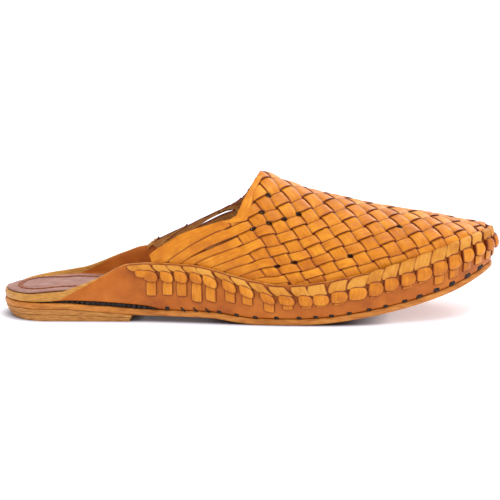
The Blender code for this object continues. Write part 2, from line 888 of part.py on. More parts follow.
def flat_prism(name, outlines, low, high, collection):
    """Straight prisms through the flat pattern, one for each outline."""

    def build(work):
        for outline in outlines:
            bottom = [work.verts.new((x, y, low)) for x, y in outline]
            face = work.faces.new(bottom)
            made = bmesh.ops.extrude_face_region(work, geom=[face])
            lifted = [item for item in made["geom"] if isinstance(item, bmesh.types.BMVert)]
            bmesh.ops.translate(work, verts=lifted, vec=(0, 0, high - low))

    mesh = mesh_from(name, build)
    made = bpy.data.objects.new(name, mesh)
    made.hide_render = True
    made.display_type = "WIRE"
    collection.objects.link(made)
    return made


def cut_by(target, cutter, operation):
    modifier = target.modifiers.new(cutter.name, "BOOLEAN")
    modifier.operation = operation
    modifier.solver = "EXACT"
    modifier.object = cutter


def upper_mesh(cutters):
    """The woven wall: laid out flat, cut to its pattern and then bent over the foot."""
    flat = bpy.data.objects.new("flat upper", flat_weave())
    cutters.objects.link(flat)
    below, above = -0.001, UPPER_WALL + STRIP_RISE + 0.001
    cut_by(flat, flat_prism("pattern", [pattern_outline()], below, above, cutters), "INTERSECT")
    slits = [slit_outline(*row) for row in OPENINGS]
    cut_by(flat, flat_prism("slits", slits, below, above, cutters), "DIFFERENCE")
    graph = bpy.context.evaluated_depsgraph_get()
    graph.update()
    mesh = bpy.data.meshes.new_from_object(flat.evaluated_get(graph))
    bpy.data.objects.remove(flat)
    work = bmesh.new()
    work.from_mesh(mesh)
    bmesh.ops.remove_doubles(work, verts=work.verts, dist=SMALLEST_EDGE)
    bmesh.ops.dissolve_degenerate(work, edges=work.edges, dist=SMALLEST_EDGE)
    spare = [vertex for vertex in work.verts if len(vertex.link_edges) == 2]
    bmesh.ops.dissolve_verts(work, verts=spare)
    bmesh.ops.triangulate(work, faces=work.faces)
    for vertex in work.verts:
        x, girth, height = vertex.co
        vertex.co = vamp_point(x, girth) + vamp_normal(x, girth) * height
    bmesh.ops.recalc_face_normals(work, faces=work.faces)
    work.to_mesh(mesh)
    work.free()
    mesh.name = "upper"
    return mesh


# The whole shoe
def build_shoe():
    for old in list(bpy.data.objects):
        bpy.data.objects.remove(old)
    shoe = bpy.data.collections.new("woven_leather_mule")
    cutters = bpy.data.collections.new("cutters")
    for collection in (shoe, cutters):
        bpy.context.scene.collection.children.link(collection)
    cutters.hide_render = True

    sole_leather = material("sole leather edge", (0.50, 0.27, 0.10), 0.65)
    side_leather = material("side leather", (0.53, 0.21, 0.05), 0.50)
    sock_leather = material("sock leather", (0.54, 0.30, 0.24), 0.75)
    strip_leather = material("strip leather", (0.70, 0.28, 0.05), 0.40)

    add_object("outsole", outsole_mesh(), shoe, sole_leather)
    middle = LOWER_LIFT_SHARE
    tuck = HEEL_BACK_MIDDLE_TUCK
    lower_lift = lift_mesh("heel_lift_lower", 0.0, middle, HEEL_BACK_TUCK, tuck, 0.0, 0.0)
    upper_lift = lift_mesh("heel_lift_upper", middle, 1.0, tuck, 0.0, CLEAR, CLEAR)
    add_object("heel_lift_lower", lower_lift, shoe, sole_leather)
    add_object("heel_lift_upper", upper_lift, shoe, sole_leather)
    add_object("insole", insole_mesh(), shoe, side_leather)
    add_object("sock", sock_mesh(), shoe, sock_leather)
    add_object("lacing", lacing_mesh(), shoe, strip_leather)
    add_object("upper", upper_mesh(cutters), shoe, strip_leather)

    points = np.array([vertex.co for part in shoe.objects for vertex in part.data.vertices])
    middle = (points.min(axis=0) + points.max(axis=0)) / 2
    for part in shoe.objects:
        for vertex in part.data.vertices:
            vertex.co.x -= middle[0]
            vertex.co.y -= middle[1]


build_shoe()
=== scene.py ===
"""A woven leather mule for the right foot, dressed for the picture.

Sections follow the shoe as it is put together: the room, the outsole, the heel, the insole with
its turned-up side, the stitches, the sock, the woven vamp and the lacing round the side.
All lengths are in metres. +X runs to the toe, +Y to the inner side of the foot, +Z up.
"""

from functools import partial

import bpy
import numpy as np
from mathutils import Matrix, Vector


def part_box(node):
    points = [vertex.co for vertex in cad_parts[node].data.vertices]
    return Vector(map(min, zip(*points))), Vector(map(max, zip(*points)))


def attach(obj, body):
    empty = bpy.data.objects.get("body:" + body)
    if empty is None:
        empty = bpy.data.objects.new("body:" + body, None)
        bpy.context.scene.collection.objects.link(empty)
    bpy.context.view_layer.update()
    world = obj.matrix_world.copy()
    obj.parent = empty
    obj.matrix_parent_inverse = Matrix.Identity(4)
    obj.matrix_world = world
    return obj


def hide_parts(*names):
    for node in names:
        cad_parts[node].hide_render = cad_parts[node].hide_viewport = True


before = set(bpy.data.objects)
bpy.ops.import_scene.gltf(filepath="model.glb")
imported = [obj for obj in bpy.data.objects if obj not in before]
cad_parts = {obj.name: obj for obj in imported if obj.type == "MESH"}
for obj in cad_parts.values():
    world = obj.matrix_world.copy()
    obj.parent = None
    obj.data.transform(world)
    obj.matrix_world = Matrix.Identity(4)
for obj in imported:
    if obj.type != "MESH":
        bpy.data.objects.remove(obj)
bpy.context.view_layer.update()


# The room
# A white table under three softboxes and an even white surround, seen by a long lens from the
# outer side of the foot, a little above the table. The table also glows faintly, a painted light
# that lifts the shadows on it, and where the shoe stands close above it both its colour and its
# glow fall toward dark violet, a painted contact shadow.
def srgb(code):
    """The linear colour of a hex code, with full cover."""
    parts = [int(code[k : k + 2], 16) / 255 for k in (0, 2, 4)]
    return [p / 12.92 if p <= 0.04045 else ((p + 0.055) / 1.055) ** 2.4 for p in parts] + [1.0]


def add_node(tree, kind, inputs=None, **settings):
    """Adds a shader node with its settings. An input is a value or another node's output."""
    made = tree.nodes.new("ShaderNode" + kind)
    for name, value in settings.items():
        setattr(made, name, value)
    for key, value in (inputs or {}).items():
        if isinstance(value, bpy.types.NodeSocket):
            tree.links.new(value, made.inputs[key])
        else:
            made.inputs[key].default_value = value
    return made


def new_material(name):
    made = bpy.data.materials.new(name)
    made.use_nodes = True
    made.node_tree.nodes.clear()
    return made, made.node_tree


def calculate(tree, operation, *values):
    return add_node(tree, "Math", dict(enumerate(values)), operation=operation).outputs[0]


def between(tree, value, low, high):
    """0 where a value is low and 1 where it is high."""
    inputs = {"Value": value, "From Min": low, "From Max": high}
    return add_node(tree, "MapRange", inputs).outputs[0]


def mix_colours(tree, part, first, second):
    return add_node(tree, "Mix", {0: part, 6: first, 7: second}, data_type="RGBA").outputs[2]


VIEW_YAW = np.radians(4.5)
VIEW_RISE = np.radians(10.8)
VIEW_ROLL = np.radians(-0.8)
VIEW_DISTANCE = 1.300
PIXELS_PER_METRE = 1000 / 0.545
ORIGIN_PIXEL = (249.7, 310.8)
PICTURE = 500
SENSOR = 36.0
# The table's faint glow is painted light that lifts the shadows on it; the reach below sets how far its
# painted contact shadow spreads.
TABLE_GLOW = 0.42
CONTACT_REACH = 0.0065

level = Vector((np.cos(VIEW_YAW), np.sin(VIEW_YAW), 0))
flat = np.cos(VIEW_RISE)
away = Vector((np.sin(VIEW_YAW) * flat, -np.cos(VIEW_YAW) * flat, np.sin(VIEW_RISE)))
upright = level.cross(-away)
right = level * np.cos(VIEW_ROLL) + upright * np.sin(VIEW_ROLL)
up = upright * np.cos(VIEW_ROLL) - level * np.sin(VIEW_ROLL)
aim = up * ((ORIGIN_PIXEL[1] - PICTURE / 2) / PIXELS_PER_METRE)
aim += right * ((PICTURE / 2 - ORIGIN_PIXEL[0]) / PIXELS_PER_METRE)
lens_place = away * VIEW_DISTANCE
back = (lens_place - aim).normalized()
right = up.cross(back).normalized()
up = back.cross(right)
bpy.ops.object.camera_add()
camera = bpy.context.object
camera.name = "long lens"
camera.data.sensor_width = SENSOR
camera.data.lens = SENSOR * VIEW_DISTANCE * PIXELS_PER_METRE / PICTURE
turn = Matrix((right, up, back)).transposed().to_4x4()
camera.matrix_world = Matrix.Translation(lens_place) @ turn
bpy.context.scene.camera = camera
bpy.context.scene.view_settings.view_transform = "Standard"

bpy.ops.mesh.primitive_plane_add(size=8.0)
table = bpy.context.object
table.name = "white_table"
white, tree = new_material("white table with painted glow and contact shadow")
# Painted contact shadow: where ambient occlusion finds the shoe close above, the table's colour is mixed
# toward dark violet and its glow is dimmed.
contact = add_node(tree, "AmbientOcclusion", {"Distance": CONTACT_REACH}, samples=16).outputs["AO"]
outside_painted_shadow = between(tree, contact, 0.12, 0.92)
surface = add_node(
    tree,
    "BsdfPrincipled",
    {
        "Base Color": mix_colours(tree, outside_painted_shadow, srgb("645864"), srgb("dcdee6")),
        "Roughness": 0.9,
        "Emission Color": srgb("f4f6ff"),
        "Emission Strength": calculate(tree, "MULTIPLY", outside_painted_shadow, TABLE_GLOW),
    },
)
add_node(tree, "OutputMaterial", {"Surface": surface.outputs[0]})
table.data.materials.append(white)

surround = bpy.data.worlds.new("white surround")
surround.use_nodes = True
sky = surround.node_tree.nodes["Background"]
sky.inputs["Color"].default_value = srgb("ffffff")
sky.inputs["Strength"].default_value = 1.0
bpy.context.scene.world = surround

for name, place, size, power in (
    ("softbox over the toe", (0.5, -0.3, 1.5), 0.7, 7.0),
    ("softbox behind the toe", (0.6, 1.0, 0.9), 0.6, 6.5),
    ("softbox in front", (1.0, -1.5, 0.55), 0.9, 2.5),
):
    bpy.ops.object.light_add(type="AREA", location=place)
    light = bpy.context.object
    light.name = name
    light.data.size = size
    light.data.energy = power
    light.rotation_euler = Vector(place).to_track_quat("Z", "Y").to_euler()


# The outsole
# One full-length piece of sole leather, cut to the pointed outline, arched a little at the waist
# and sprung at the toe. Its edge is trimmed round and waxed.
SOLE_LENGTH = 0.2650
BALL_WIDTH = 0.090
HEEL_LIFT = 0.0064
TOE_SPRING = 0.0265
OUTSOLE_THICK = 0.0033
HEEL_ROUND = 0.0288
HEEL_ROUND_POWER = 2.3
TOE_ROUND = 0.0266
TOE_ROUND_POWER = 2.2
SOLE_EDGE_ROUND = 0.0011
SOLE_SET_IN = 0.0002
BUMP_HEIGHT = 0.0002

OUTLINE = (
    # station, outer half width, inner half width, as shares of the ball width
    (0.00, 0.330, 0.330),
    (0.10, 0.333, 0.333),
    (0.20, 0.335, 0.335),
    (0.30, 0.345, 0.320),
    (0.40, 0.385, 0.315),
    (0.50, 0.430, 0.360),
    (0.60, 0.460, 0.430),
    (0.68, 0.465, 0.480),
    (0.76, 0.440, 0.485),
    (0.84, 0.370, 0.450),
    (0.92, 0.275, 0.385),
    (1.00, 0.160, 0.300),
)

UNDERSIDE = (
    # station, share of the heel's lift, share of the toe spring
    (0.00, 1.00, 0.00),
    (0.13, 1.00, 0.00),
    (0.19, 0.83, 0.00),
    (0.25, 0.66, 0.00),
    (0.29, 0.53, 0.00),
    (0.36, 0.50, 0.00),
    (0.43, 0.48, 0.00),
    (0.48, 0.22, 0.00),
    (0.53, 0.00, 0.00),
    (0.61, 0.00, 0.00),
    (0.66, 0.00, 0.03),
    (0.71, 0.00, 0.09),
    (0.77, 0.00, 0.19),
    (0.83, 0.00, 0.31),
    (0.89, 0.00, 0.47),
    (0.94, 0.00, 0.64),
    (0.97, 0.00, 0.77),
    (1.00, 0.00, 0.91),
)


def smooth_table(rows):
    """Smooth curves over a table's first column, one through each of the others, no overshoot."""
    at, *columns = np.array(rows).T
    step = np.diff(at)

    def curve(value):
        rise = np.diff(value) / step
        slope = np.zeros(len(at))
        slope[0], slope[-1] = rise[0], rise[-1]
        for k in range(1, len(at) - 1):
            if rise[k - 1] * rise[k] > 0:
                before = 2 * step[k] + step[k - 1]
                after = step[k] + 2 * step[k - 1]
                slope[k] = (before + after) / (before / rise[k - 1] + after / rise[k])

        def read(station):
            station = np.clip(station, at[0], at[-1])
            k = np.clip(np.searchsorted(at, station) - 1, 0, len(step) - 1)
            u = (station - at[k]) / step[k]
            start = (1 + 2 * u) * (1 - u) ** 2 * value[k] + u * (1 - u) ** 2 * step[k] * slope[k]
            end = u**2 * (3 - 2 * u) * value[k + 1] + u**2 * (u - 1) * step[k] * slope[k + 1]
            return start + end

        return read

    return [curve(value) for value in columns]


outer_half, inner_half = smooth_table(OUTLINE)
heel_part, toe_part = smooth_table(UNDERSIDE)


def ease(value, low, high):
    """0 below low, 1 above high, and a smooth step between them."""
    u = np.clip((np.asarray(value, float) - low) / (high - low), 0, 1)
    return u * u * (3 - 2 * u)


def underside(station):
    """The height of the outsole's underside, lifted at the heel and sprung at the toe."""
    return HEEL_LIFT * heel_part(station) + TOE_SPRING * toe_part(station)


# Close stations along the sole, closest at its ends
FINE = (1 - np.cos(np.linspace(0, np.pi, 1201))) / 2


def sole_side(side):
    """Plan points of one side of the outline, each with its outward normal."""
    heel = np.clip(1 - FINE * SOLE_LENGTH / HEEL_ROUND, 0, 1)
    toe = np.clip(1 - (1 - FINE) * SOLE_LENGTH / TOE_ROUND, 0, 1)
    rounding = np.sqrt(1 - heel**HEEL_ROUND_POWER) * np.sqrt(np.clip(1 - toe**TOE_ROUND_POWER, 0, 1))
    outer = outer_half(FINE) * BALL_WIDTH
    inner = inner_half(FINE) * BALL_WIDTH
    y = (inner - outer) / 2 + side * (outer + inner) / 2 * rounding
    x = (FINE - 0.5) * SOLE_LENGTH
    run, rise = np.gradient(x), np.gradient(y)
    length = np.hypot(run, rise)
    return np.stack([x, y, -rise / length * side, run / length * side], axis=1)


SOLE_SIDES = {side: sole_side(side) for side in (-1, 1)}
OUTSOLE_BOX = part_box("outsole")
# The frame has its origin under the middle of the whole shoe's box
CENTRE = np.array([OUTSOLE_BOX[0][0] + SOLE_LENGTH / 2 + SOLE_SET_IN, 0.0])
CENTRE[1] = (OUTSOLE_BOX[0][1] + OUTSOLE_BOX[1][1]) / 2 - (
    SOLE_SIDES[-1][:, 1].min() + SOLE_SIDES[1][:, 1].max()
) / 2


def edge_points(station, side, inset):
    """Plan points of the outline at stations, moved inward by the inset."""
    x, y, out_x, out_y = (np.interp(station, FINE, column) for column in SOLE_SIDES[side].T)
    size = np.hypot(out_x, out_y)
    return x - out_x / size * inset + CENTRE[0], y - out_y / size * inset + CENTRE[1]


def select_only(*pieces):
    bpy.ops.object.select_all(action="DESELECT")
    for piece in pieces:
        piece.select_set(True)
    bpy.context.view_layer.objects.active = pieces[0]


def edit_part(mesh, kind, picks, operator, **settings):
    """Runs an operator of edit mode on the vertices, edges or faces that are picked."""
    bpy.ops.object.mode_set(mode="EDIT")
    bpy.ops.mesh.select_mode(type=kind)
    bpy.ops.mesh.select_all(action="DESELECT")
    bpy.ops.object.mode_set(mode="OBJECT")
    parts = {"VERT": mesh.vertices, "EDGE": mesh.edges, "FACE": mesh.polygons}[kind]
    parts.foreach_set("select", picks)
    bpy.ops.object.mode_set(mode="EDIT")
    operator(**settings)
    bpy.ops.mesh.select_all(action="DESELECT")
    bpy.ops.object.mode_set(mode="OBJECT")


def turn_faces_out(mesh):
    every = np.ones(len(mesh.polygons), bool)
    edit_part(mesh, "FACE", every, bpy.ops.mesh.normals_make_consistent, inside=False)


def change_shape(piece, name, kind, **settings):
    """Gives a piece a modifier with its settings and applies it."""
    made = piece.modifiers.new(name, kind)
    for key, value in settings.items():
        setattr(made, key, value)
    bpy.ops.object.modifier_apply(modifier=name)


def layer_piece(name, bands, last=1.0, sides=200):
    """A closed layer of the sole: a ring of many sides, shaped to the outline band by band.

    Each band is an inset and a height, both functions of the station and the side. The open ends
    of the ring are then bridged straight across from side to side. A last station short of the
    toe leaves a flat end there."""
    bpy.ops.mesh.primitive_cylinder_add(vertices=sides, radius=1, depth=2, end_fill_type="NOTHING")
    piece = bpy.context.object
    piece.name = name
    mesh = piece.data

    def corner_pairs():
        return np.array([edge.vertices[:] for edge in mesh.edges]).T

    z = np.array([v.co.z for v in mesh.vertices])
    v, w = corner_pairs()
    edit_part(mesh, "EDGE", abs(z[v] - z[w]) > 1, bpy.ops.mesh.subdivide, number_cuts=len(bands) - 2)
    co = np.array([v.co[:] for v in mesh.vertices])
    band = np.rint((co[:, 2] + 1) / 2 * (len(bands) - 1)).astype(int)
    slot = np.rint((np.arctan2(co[:, 1], co[:, 0]) / (2 * np.pi)) * sides - 0.5).astype(int) % sides
    half = sides // 2
    side = np.where(slot < half, 1, -1)
    rank = np.where(slot < half, slot, sides - 1 - slot) + 0.5
    whole = last >= 1.0
    turn = np.pi if whole else np.pi * 0.62
    part = rank / half if whole else (rank - 0.5) / (half - 0.5)
    station = last * ((1 - np.cos((1 - part) * turn)) / (1 - np.cos(turn)))
    for b, (inset, height) in enumerate(bands):
        for way in (-1, 1):
            pick = (band == b) & (side == way)
            here = station[pick]
            co[pick, 0], co[pick, 1] = edge_points(here, way, inset(here, way))
            co[pick, 2] = height(here, way)
    mesh.vertices.foreach_set("co", co.ravel())
    mesh.update()
    for b in (0, len(bands) - 1):
        v, w = corner_pairs()
        across_gap = (band[v] == b) & (band[w] == b) & (side[v] == side[w])
        edit_part(mesh, "EDGE", across_gap, bpy.ops.mesh.bridge_edge_loops)
    turn_faces_out(mesh)
    return piece


def stages(values, inset, height):
    """Bands whose inset and height also follow a value, one band for each value."""
    return [
        (lambda s, side, v=value: inset(s, side, v), lambda s, side, v=value: height(s, side, v))
        for value in values
    ]


def rounded(low, high, inset, radius, steps=5):
    """Bands up an edge with both its corners rounded, between two heights."""
    angles = np.linspace(0, np.pi / 2, steps)

    def set_in(station, side, angle):
        return inset(station, side) + radius * (1 - np.sin(angle))

    def reach(station, angle):
        return np.minimum(radius, (high(station) - low(station)) / 2) * (1 - np.cos(angle))

    return stages(angles, set_in, lambda s, side, a: low(s) + reach(s, a)) + stages(
        angles[::-1], set_in, lambda s, side, a: high(s) - reach(s, a)
    )


def stretch(tree, place, scale):
    return add_node(tree, "Mapping", {"Vector": place, "Scale": scale}).outputs[0]


def noise(tree, place, scale, detail, roughness=0.5):
    inputs = {"Vector": place, "Scale": scale, "Detail": detail, "Roughness": roughness}
    return add_node(tree, "TexNoise", inputs).outputs[0]


def cells(tree, place, scale):
    inputs = {"Vector": place, "Scale": scale}
    return add_node(tree, "TexVoronoi", inputs, feature="SMOOTH_F1").outputs[0]


def ramp(tree, factor, *stops):
    """A colour that changes along a factor, from stop to stop."""
    made = add_node(tree, "ValToRGB", {"Fac": factor})
    colours = made.color_ramp.elements
    for end, (position, code) in zip(colours, (stops[0], stops[-1])):
        end.position = position
        end.color = srgb(code)
    for position, code in stops[1:-1]:
        colours.new(position).color = srgb(code)
    return made.outputs[0]


def read_level(tree, name):
    return add_node(tree, "Attribute", attribute_name=name).outputs["Fac"]


def leather_surface(tree, colour, roughness, relief, bump, coat, coat_roughness):
    """The shader of a leather, with its relief as a fine bump."""
    bumped = add_node(tree, "Bump", {"Height": relief, "Strength": bump, "Distance": BUMP_HEIGHT})
    inputs = {"Base Color": colour, "Roughness": roughness, "IOR": 1.5, "Normal": bumped.outputs[0]}
    shader = add_node(tree, "BsdfPrincipled", inputs)
    shader.inputs["Specular IOR Level"].default_value = 0.27
    shader.inputs["Coat Weight"].default_value = coat
    shader.inputs["Coat Roughness"].default_value = coat_roughness
    add_node(tree, "OutputMaterial", {"Surface": shader.outputs[0]})


def leather(
    name, main, light, dark, roughness, grain_mm, mottle_mm, bump=0.25, coat=0.0, streak=(1, 1, 1)
):
    """Tanned leather: a mottled colour, fine darker pores and a pebbled grain."""
    made, tree = new_material(name)
    place = add_node(tree, "TexCoord").outputs["Object"]
    spread = stretch(tree, place, streak)
    cloud = noise(tree, spread, 1000 / mottle_mm, 5.0, 0.6)
    tone = ramp(tree, cloud, (0.30, dark), (0.5, main), (0.70, light))
    fibre = noise(tree, spread, 1000 / (grain_mm * 2.5), 3.0)
    relief = calculate(tree, "ADD", cells(tree, place, 1000 / grain_mm), fibre)
    leather_surface(tree, tone, roughness, relief, bump, coat, 0.3)
    return made


def add_levels(mesh, **levels):
    """Numbers kept at the corners of a mesh, which its material reads."""
    for name, values in levels.items():
        mesh.attributes.new(name, "FLOAT", "POINT").data.foreach_set("value", values)


def finish_piece(piece, look, angle):
    """Gives a piece its material and smooth shading below an angle in degrees."""
    piece.data.materials.append(look)
    select_only(piece)
    bpy.ops.object.shade_smooth_by_angle(angle=np.radians(angle))
    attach(piece, "root")


def outsole_top(station):
    return underside(station) + OUTSOLE_THICK


sole_bands = rounded(underside, outsole_top, lambda s, side: 0.0, SOLE_EDGE_ROUND)
outsole = layer_piece("outsole_leather", sole_bands)
sole_edge = leather(
    "waxed sole leather edge", "c0762e", "d28c40", "9c5a20", 0.55, 0.7, 9.0, streak=(1, 1, 5)
)
finish_piece(outsole, sole_edge, 60)
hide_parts("outsole")


# The heel
# Two lifts of stacked sole leather, cut as wedges and rasped round at the back, with the breast
# cut on a slant.
BREAST_SHARE = 0.282
BREAST_SLANT = 0.002
LOWER_LIFT_SHARE = 0.52
HEEL_BACK_TUCK = 0.0035
HEEL_BACK_MIDDLE_TUCK = 0.0010
HEEL_BACK_LENGTH = 0.024
LIFT_INSET = 0.0004
LIFT_CORNER = 0.0002
LIFT_GAP = 0.0001
CLEAR = 0.0003


def heel_back(station):
    """1 at the back of the heel, falling to 0 in front of its rounding."""
    return 1 - ease(station * SOLE_LENGTH, 0, HEEL_BACK_LENGTH)


def lift_piece(name, low, high, low_tuck, high_tuck):
    """A lift between two shares of the heel's height, its back tucked in at each of them."""

    def inset(station, side, part):
        corner = LIFT_CORNER * (abs(part - 0.5) > 0.49)
        return LIFT_INSET + (low_tuck + (high_tuck - low_tuck) * part) * heel_back(station) + corner

    def height(station, side, part):
        shift = LIFT_GAP * (1 - 2 * part) if low else -LIFT_GAP * part
        return underside(station) * (low + (high - low) * part) + shift

    breast = BREAST_SHARE - BREAST_SLANT / SOLE_LENGTH * (1 - (low + high) / 2)
    return layer_piece(name, stages(np.linspace(0, 1, 7), inset, height), last=breast, sides=120)


lift_leather = leather(
    "stacked heel leather", "b87a3a", "d49c54", "8c5426", 0.65, 0.5, 5.0, 0.5, streak=(1, 1, 9)
)
for name, node, low, high, low_tuck, high_tuck in (
    ("lower_lift", "heel_lift_lower", 0.0, LOWER_LIFT_SHARE, HEEL_BACK_TUCK, HEEL_BACK_MIDDLE_TUCK),
    ("upper_lift", "heel_lift_upper", LOWER_LIFT_SHARE, 1.0, HEEL_BACK_MIDDLE_TUCK, 0.0),
):
    lift = lift_piece(name, low, high, low_tuck, high_tuck)
    finish_piece(lift, lift_leather, 40)
    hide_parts(node)


# The insole and its turned-up side
# One piece of thick tanned leather. Flat under the heel, it is turned up round the foot from the
# waist forward, so its cut edge runs up the wing and on as the rim that carries the weave.
INSOLE_THICK = 0.0042
SLIT = 0.0022
SIDE_HEIGHT = 0.0240
WALL = 0.0022
RIM_LEAN = 0.0015
RIM_LEAN_HEIGHT = 0.008
UPRIGHT_TOE = (0.92, 1.00)
SIDE_ROUND = 0.0015
SIDE_BULGE = 0.0006
EDGE_BREAK = 0.0002
RIM_EDGE_BREAK = 0.0003
FLOOR_FILLET = 0.0030
FOOT_BREAK = 0.0010
RIM_ROUND = 0.0005
CUT_EDGE_OVER = 0.0008
CUT_EDGE_ALONG = 0.0002
CUT_EDGE_ENDS = (0.06, 0.24)

SLIT_ROWS = (
    # station, share of the slit's greatest height
    (0.00, 0.00),
    (0.06, 0.05),
    (0.11, 0.30),
    (0.15, 0.65),
    (0.21, 0.95),
    (0.28, 1.00),
    (0.31, 0.70),
    (0.34, 0.00),
    (1.00, 0.00),
)

RIM_ROWS = (
    # station, share of the side height over the outsole on the outer and on the inner side
    (0.000, 0.00, 0.10),
    (0.030, 0.03, 0.22),
    (0.067, 0.07, 0.285),
    (0.100, 0.10, 0.335),
    (0.130, 0.23, 0.39),
    (0.150, 0.33, 0.44),
    (0.190, 0.53, 0.63),
    (0.211, 0.65, 0.74),
    (0.231, 0.78, 0.84),
    (0.252, 0.93, 0.94),
    (0.270, 1.00, 1.03),
    (0.312, 1.05, 1.11),
    (0.393, 1.03, 1.06),
    (0.443, 0.95, 0.95),
    (0.493, 0.88, 0.88),
    (0.536, 0.82, 0.82),
    (0.572, 0.75, 0.75),
    (0.641, 0.78, 0.78),
    (0.710, 0.83, 0.83),
    (0.768, 0.84, 0.84),
    (0.844, 0.86, 0.86),
    (0.890, 0.87, 0.87),
    (0.923, 0.87, 0.87),
    (0.965, 0.82, 0.82),
    (1.000, 0.70, 0.70),
)

(slit_part,) = smooth_table(SLIT_ROWS)
rim_parts = dict(zip((-1, 1), smooth_table(RIM_ROWS)))


def insole_under(station):
    return outsole_top(station) + CLEAR + SLIT * slit_part(station)


def floor_top(station):
    return insole_under(station) + INSOLE_THICK


def rim_top(station, side):
    return np.maximum(floor_top(station), outsole_top(station) + SIDE_HEIGHT * rim_parts[side](station))


def wall_height(station, side):
    return rim_top(station, side) - floor_top(station)


def lean(station, side):
    """How far the rim leans inward over the side's foot."""
    upright = ease(station, *UPRIGHT_TOE)
    return RIM_LEAN * ease(wall_height(station, side), 0, RIM_LEAN_HEIGHT) * (1 - upright)


def bulge(station):
    return SIDE_BULGE * ease(station, 0.4, 0.6)


def side_inset(station, side, share):
    """How far the side's outer face stands in at a share of its height."""
    upper = -bulge(station) * (1 - share) * 2 + (RIM_EDGE_BREAK + lean(station, side)) * (share * 2 - 1)
    lower = EDGE_BREAK * (1 - share * 2) - bulge(station) * share * 2
    return np.where(share > 0.5, upper, lower)


def side_foot(station):
    return insole_under(station) + SIDE_ROUND


def inner_foot(station, side):
    return floor_top(station) + np.minimum(SIDE_ROUND, 0.5 * wall_height(station, side))


def rim_shoulder(station, side):
    return rim_top(station, side) - RIM_ROUND


def insole_bands():
    """Bands round the insole's section: its foot, outer face, rim, inner face and fillet."""
    quarter = np.linspace(0, np.pi / 2, 4)
    bands = stages(
        quarter[:-1],
        lambda s, side, a: EDGE_BREAK + FOOT_BREAK * (1 - np.sin(a)),
        lambda s, side, a: insole_under(s) + SIDE_ROUND * (1 - np.cos(a)),
    )
    bands += stages(
        np.linspace(0, 1, 9),
        side_inset,
        lambda s, side, p: side_foot(s) + (rim_shoulder(s, side) - side_foot(s)) * p,
    )
    bands += stages(
        np.linspace(0, np.pi, 7)[1:-1],
        lambda s, side, a: lean(s, side) + RIM_EDGE_BREAK + (WALL - RIM_EDGE_BREAK) / 2 * (1 - np.cos(a)),
        lambda s, side, a: rim_shoulder(s, side) + RIM_ROUND * np.sin(a),
    )
    bands += stages(
        np.linspace(0, 1, 6),
        lambda s, side, p: WALL + lean(s, side) * (1 - p) + FOOT_BREAK * p,
        lambda s, side, p: rim_shoulder(s, side) * (1 - p) + inner_foot(s, side) * p,
    )
    bands += stages(
        quarter[1:],
        lambda s, side, a: WALL + FOOT_BREAK + (FLOOR_FILLET - FOOT_BREAK) * (1 - np.cos(a)),
        lambda s, side, a: floor_top(s) + (inner_foot(s, side) - floor_top(s)) * (1 - np.sin(a)),
    )
    return bands


def station_of(x):
    return np.clip((x - CENTRE[0]) / SOLE_LENGTH + 0.5, 0, 1)


def mark_cut_edge(piece):
    """Keeps at each corner how far, in millimetres, it lies inside the raw cut edge."""
    x, y, z = np.array([v.co[:] for v in piece.data.vertices]).T
    station = station_of(x)
    axis = CENTRE[1] + (inner_half(station) - outer_half(station)) / 2 * BALL_WIDTH
    depth = np.where(y < axis, rim_top(station, -1), rim_top(station, 1)) - z
    cut = CUT_EDGE_ALONG + (INSOLE_THICK + CUT_EDGE_OVER) * (1 - ease(station, *CUT_EDGE_ENDS))
    add_levels(piece.data, cut_edge=(cut - depth) * 1000)


def side_leather():
    """Smooth tanned leather, brown on its grain side, with a raw yellowish cut edge."""
    made = leather(
        "vegetable-tanned side leather", "b55f14", "c56f20", "9a4b0e", 0.5, 0.55, 16.0, 0.2, coat=0.03
    )
    tree = made.node_tree
    shader = tree.nodes["Principled BSDF"]
    grain = shader.inputs["Base Color"].links[0].from_socket
    place = tree.nodes["Texture Coordinate"].outputs["Object"]
    fibre = noise(tree, stretch(tree, place, (1, 1, 6)), 260.0, 4.0)
    raw = ramp(tree, fibre, (0.25, "a86a22"), (0.75, "d29a4a"))
    part = between(tree, calculate(tree, "ADD", fibre, read_level(tree, "cut_edge")), 0.35, 0.75)
    tree.links.new(mix_colours(tree, part, grain, raw), shader.inputs["Base Color"])
    return made


insole = layer_piece("insole_and_side", insole_bands(), sides=320)
mark_cut_edge(insole)
finish_piece(insole, side_leather(), 50)
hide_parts("insole")


# The sock
# A thin lining of pinkish split leather glued on the insole, a little short of its side.
SOCK_THICK = 0.0009
SOCK_INSET = 0.0015
SOCK_ROUND = 0.0003
SOCK_NARROWS = {-1: (0.05, 0.12), 1: (-0.02, 0.025)}


def sock_inset(station, side):
    return SOCK_INSET + (WALL + FLOOR_FILLET - FOOT_BREAK) * ease(station, *SOCK_NARROWS[side])


def sock_under(station):
    return floor_top(station) + CLEAR


def sock_top(station):
    return sock_under(station) + SOCK_THICK


sock = layer_piece("lining_sock", rounded(sock_under, sock_top, sock_inset, SOCK_ROUND, 3), sides=240)
sock_leather = leather("undyed lining leather", "a2776c", "b0867a", "90665b", 0.8, 0.8, 8.0, bump=0.3)
finish_piece(sock, sock_leather, 50)
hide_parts("sock")


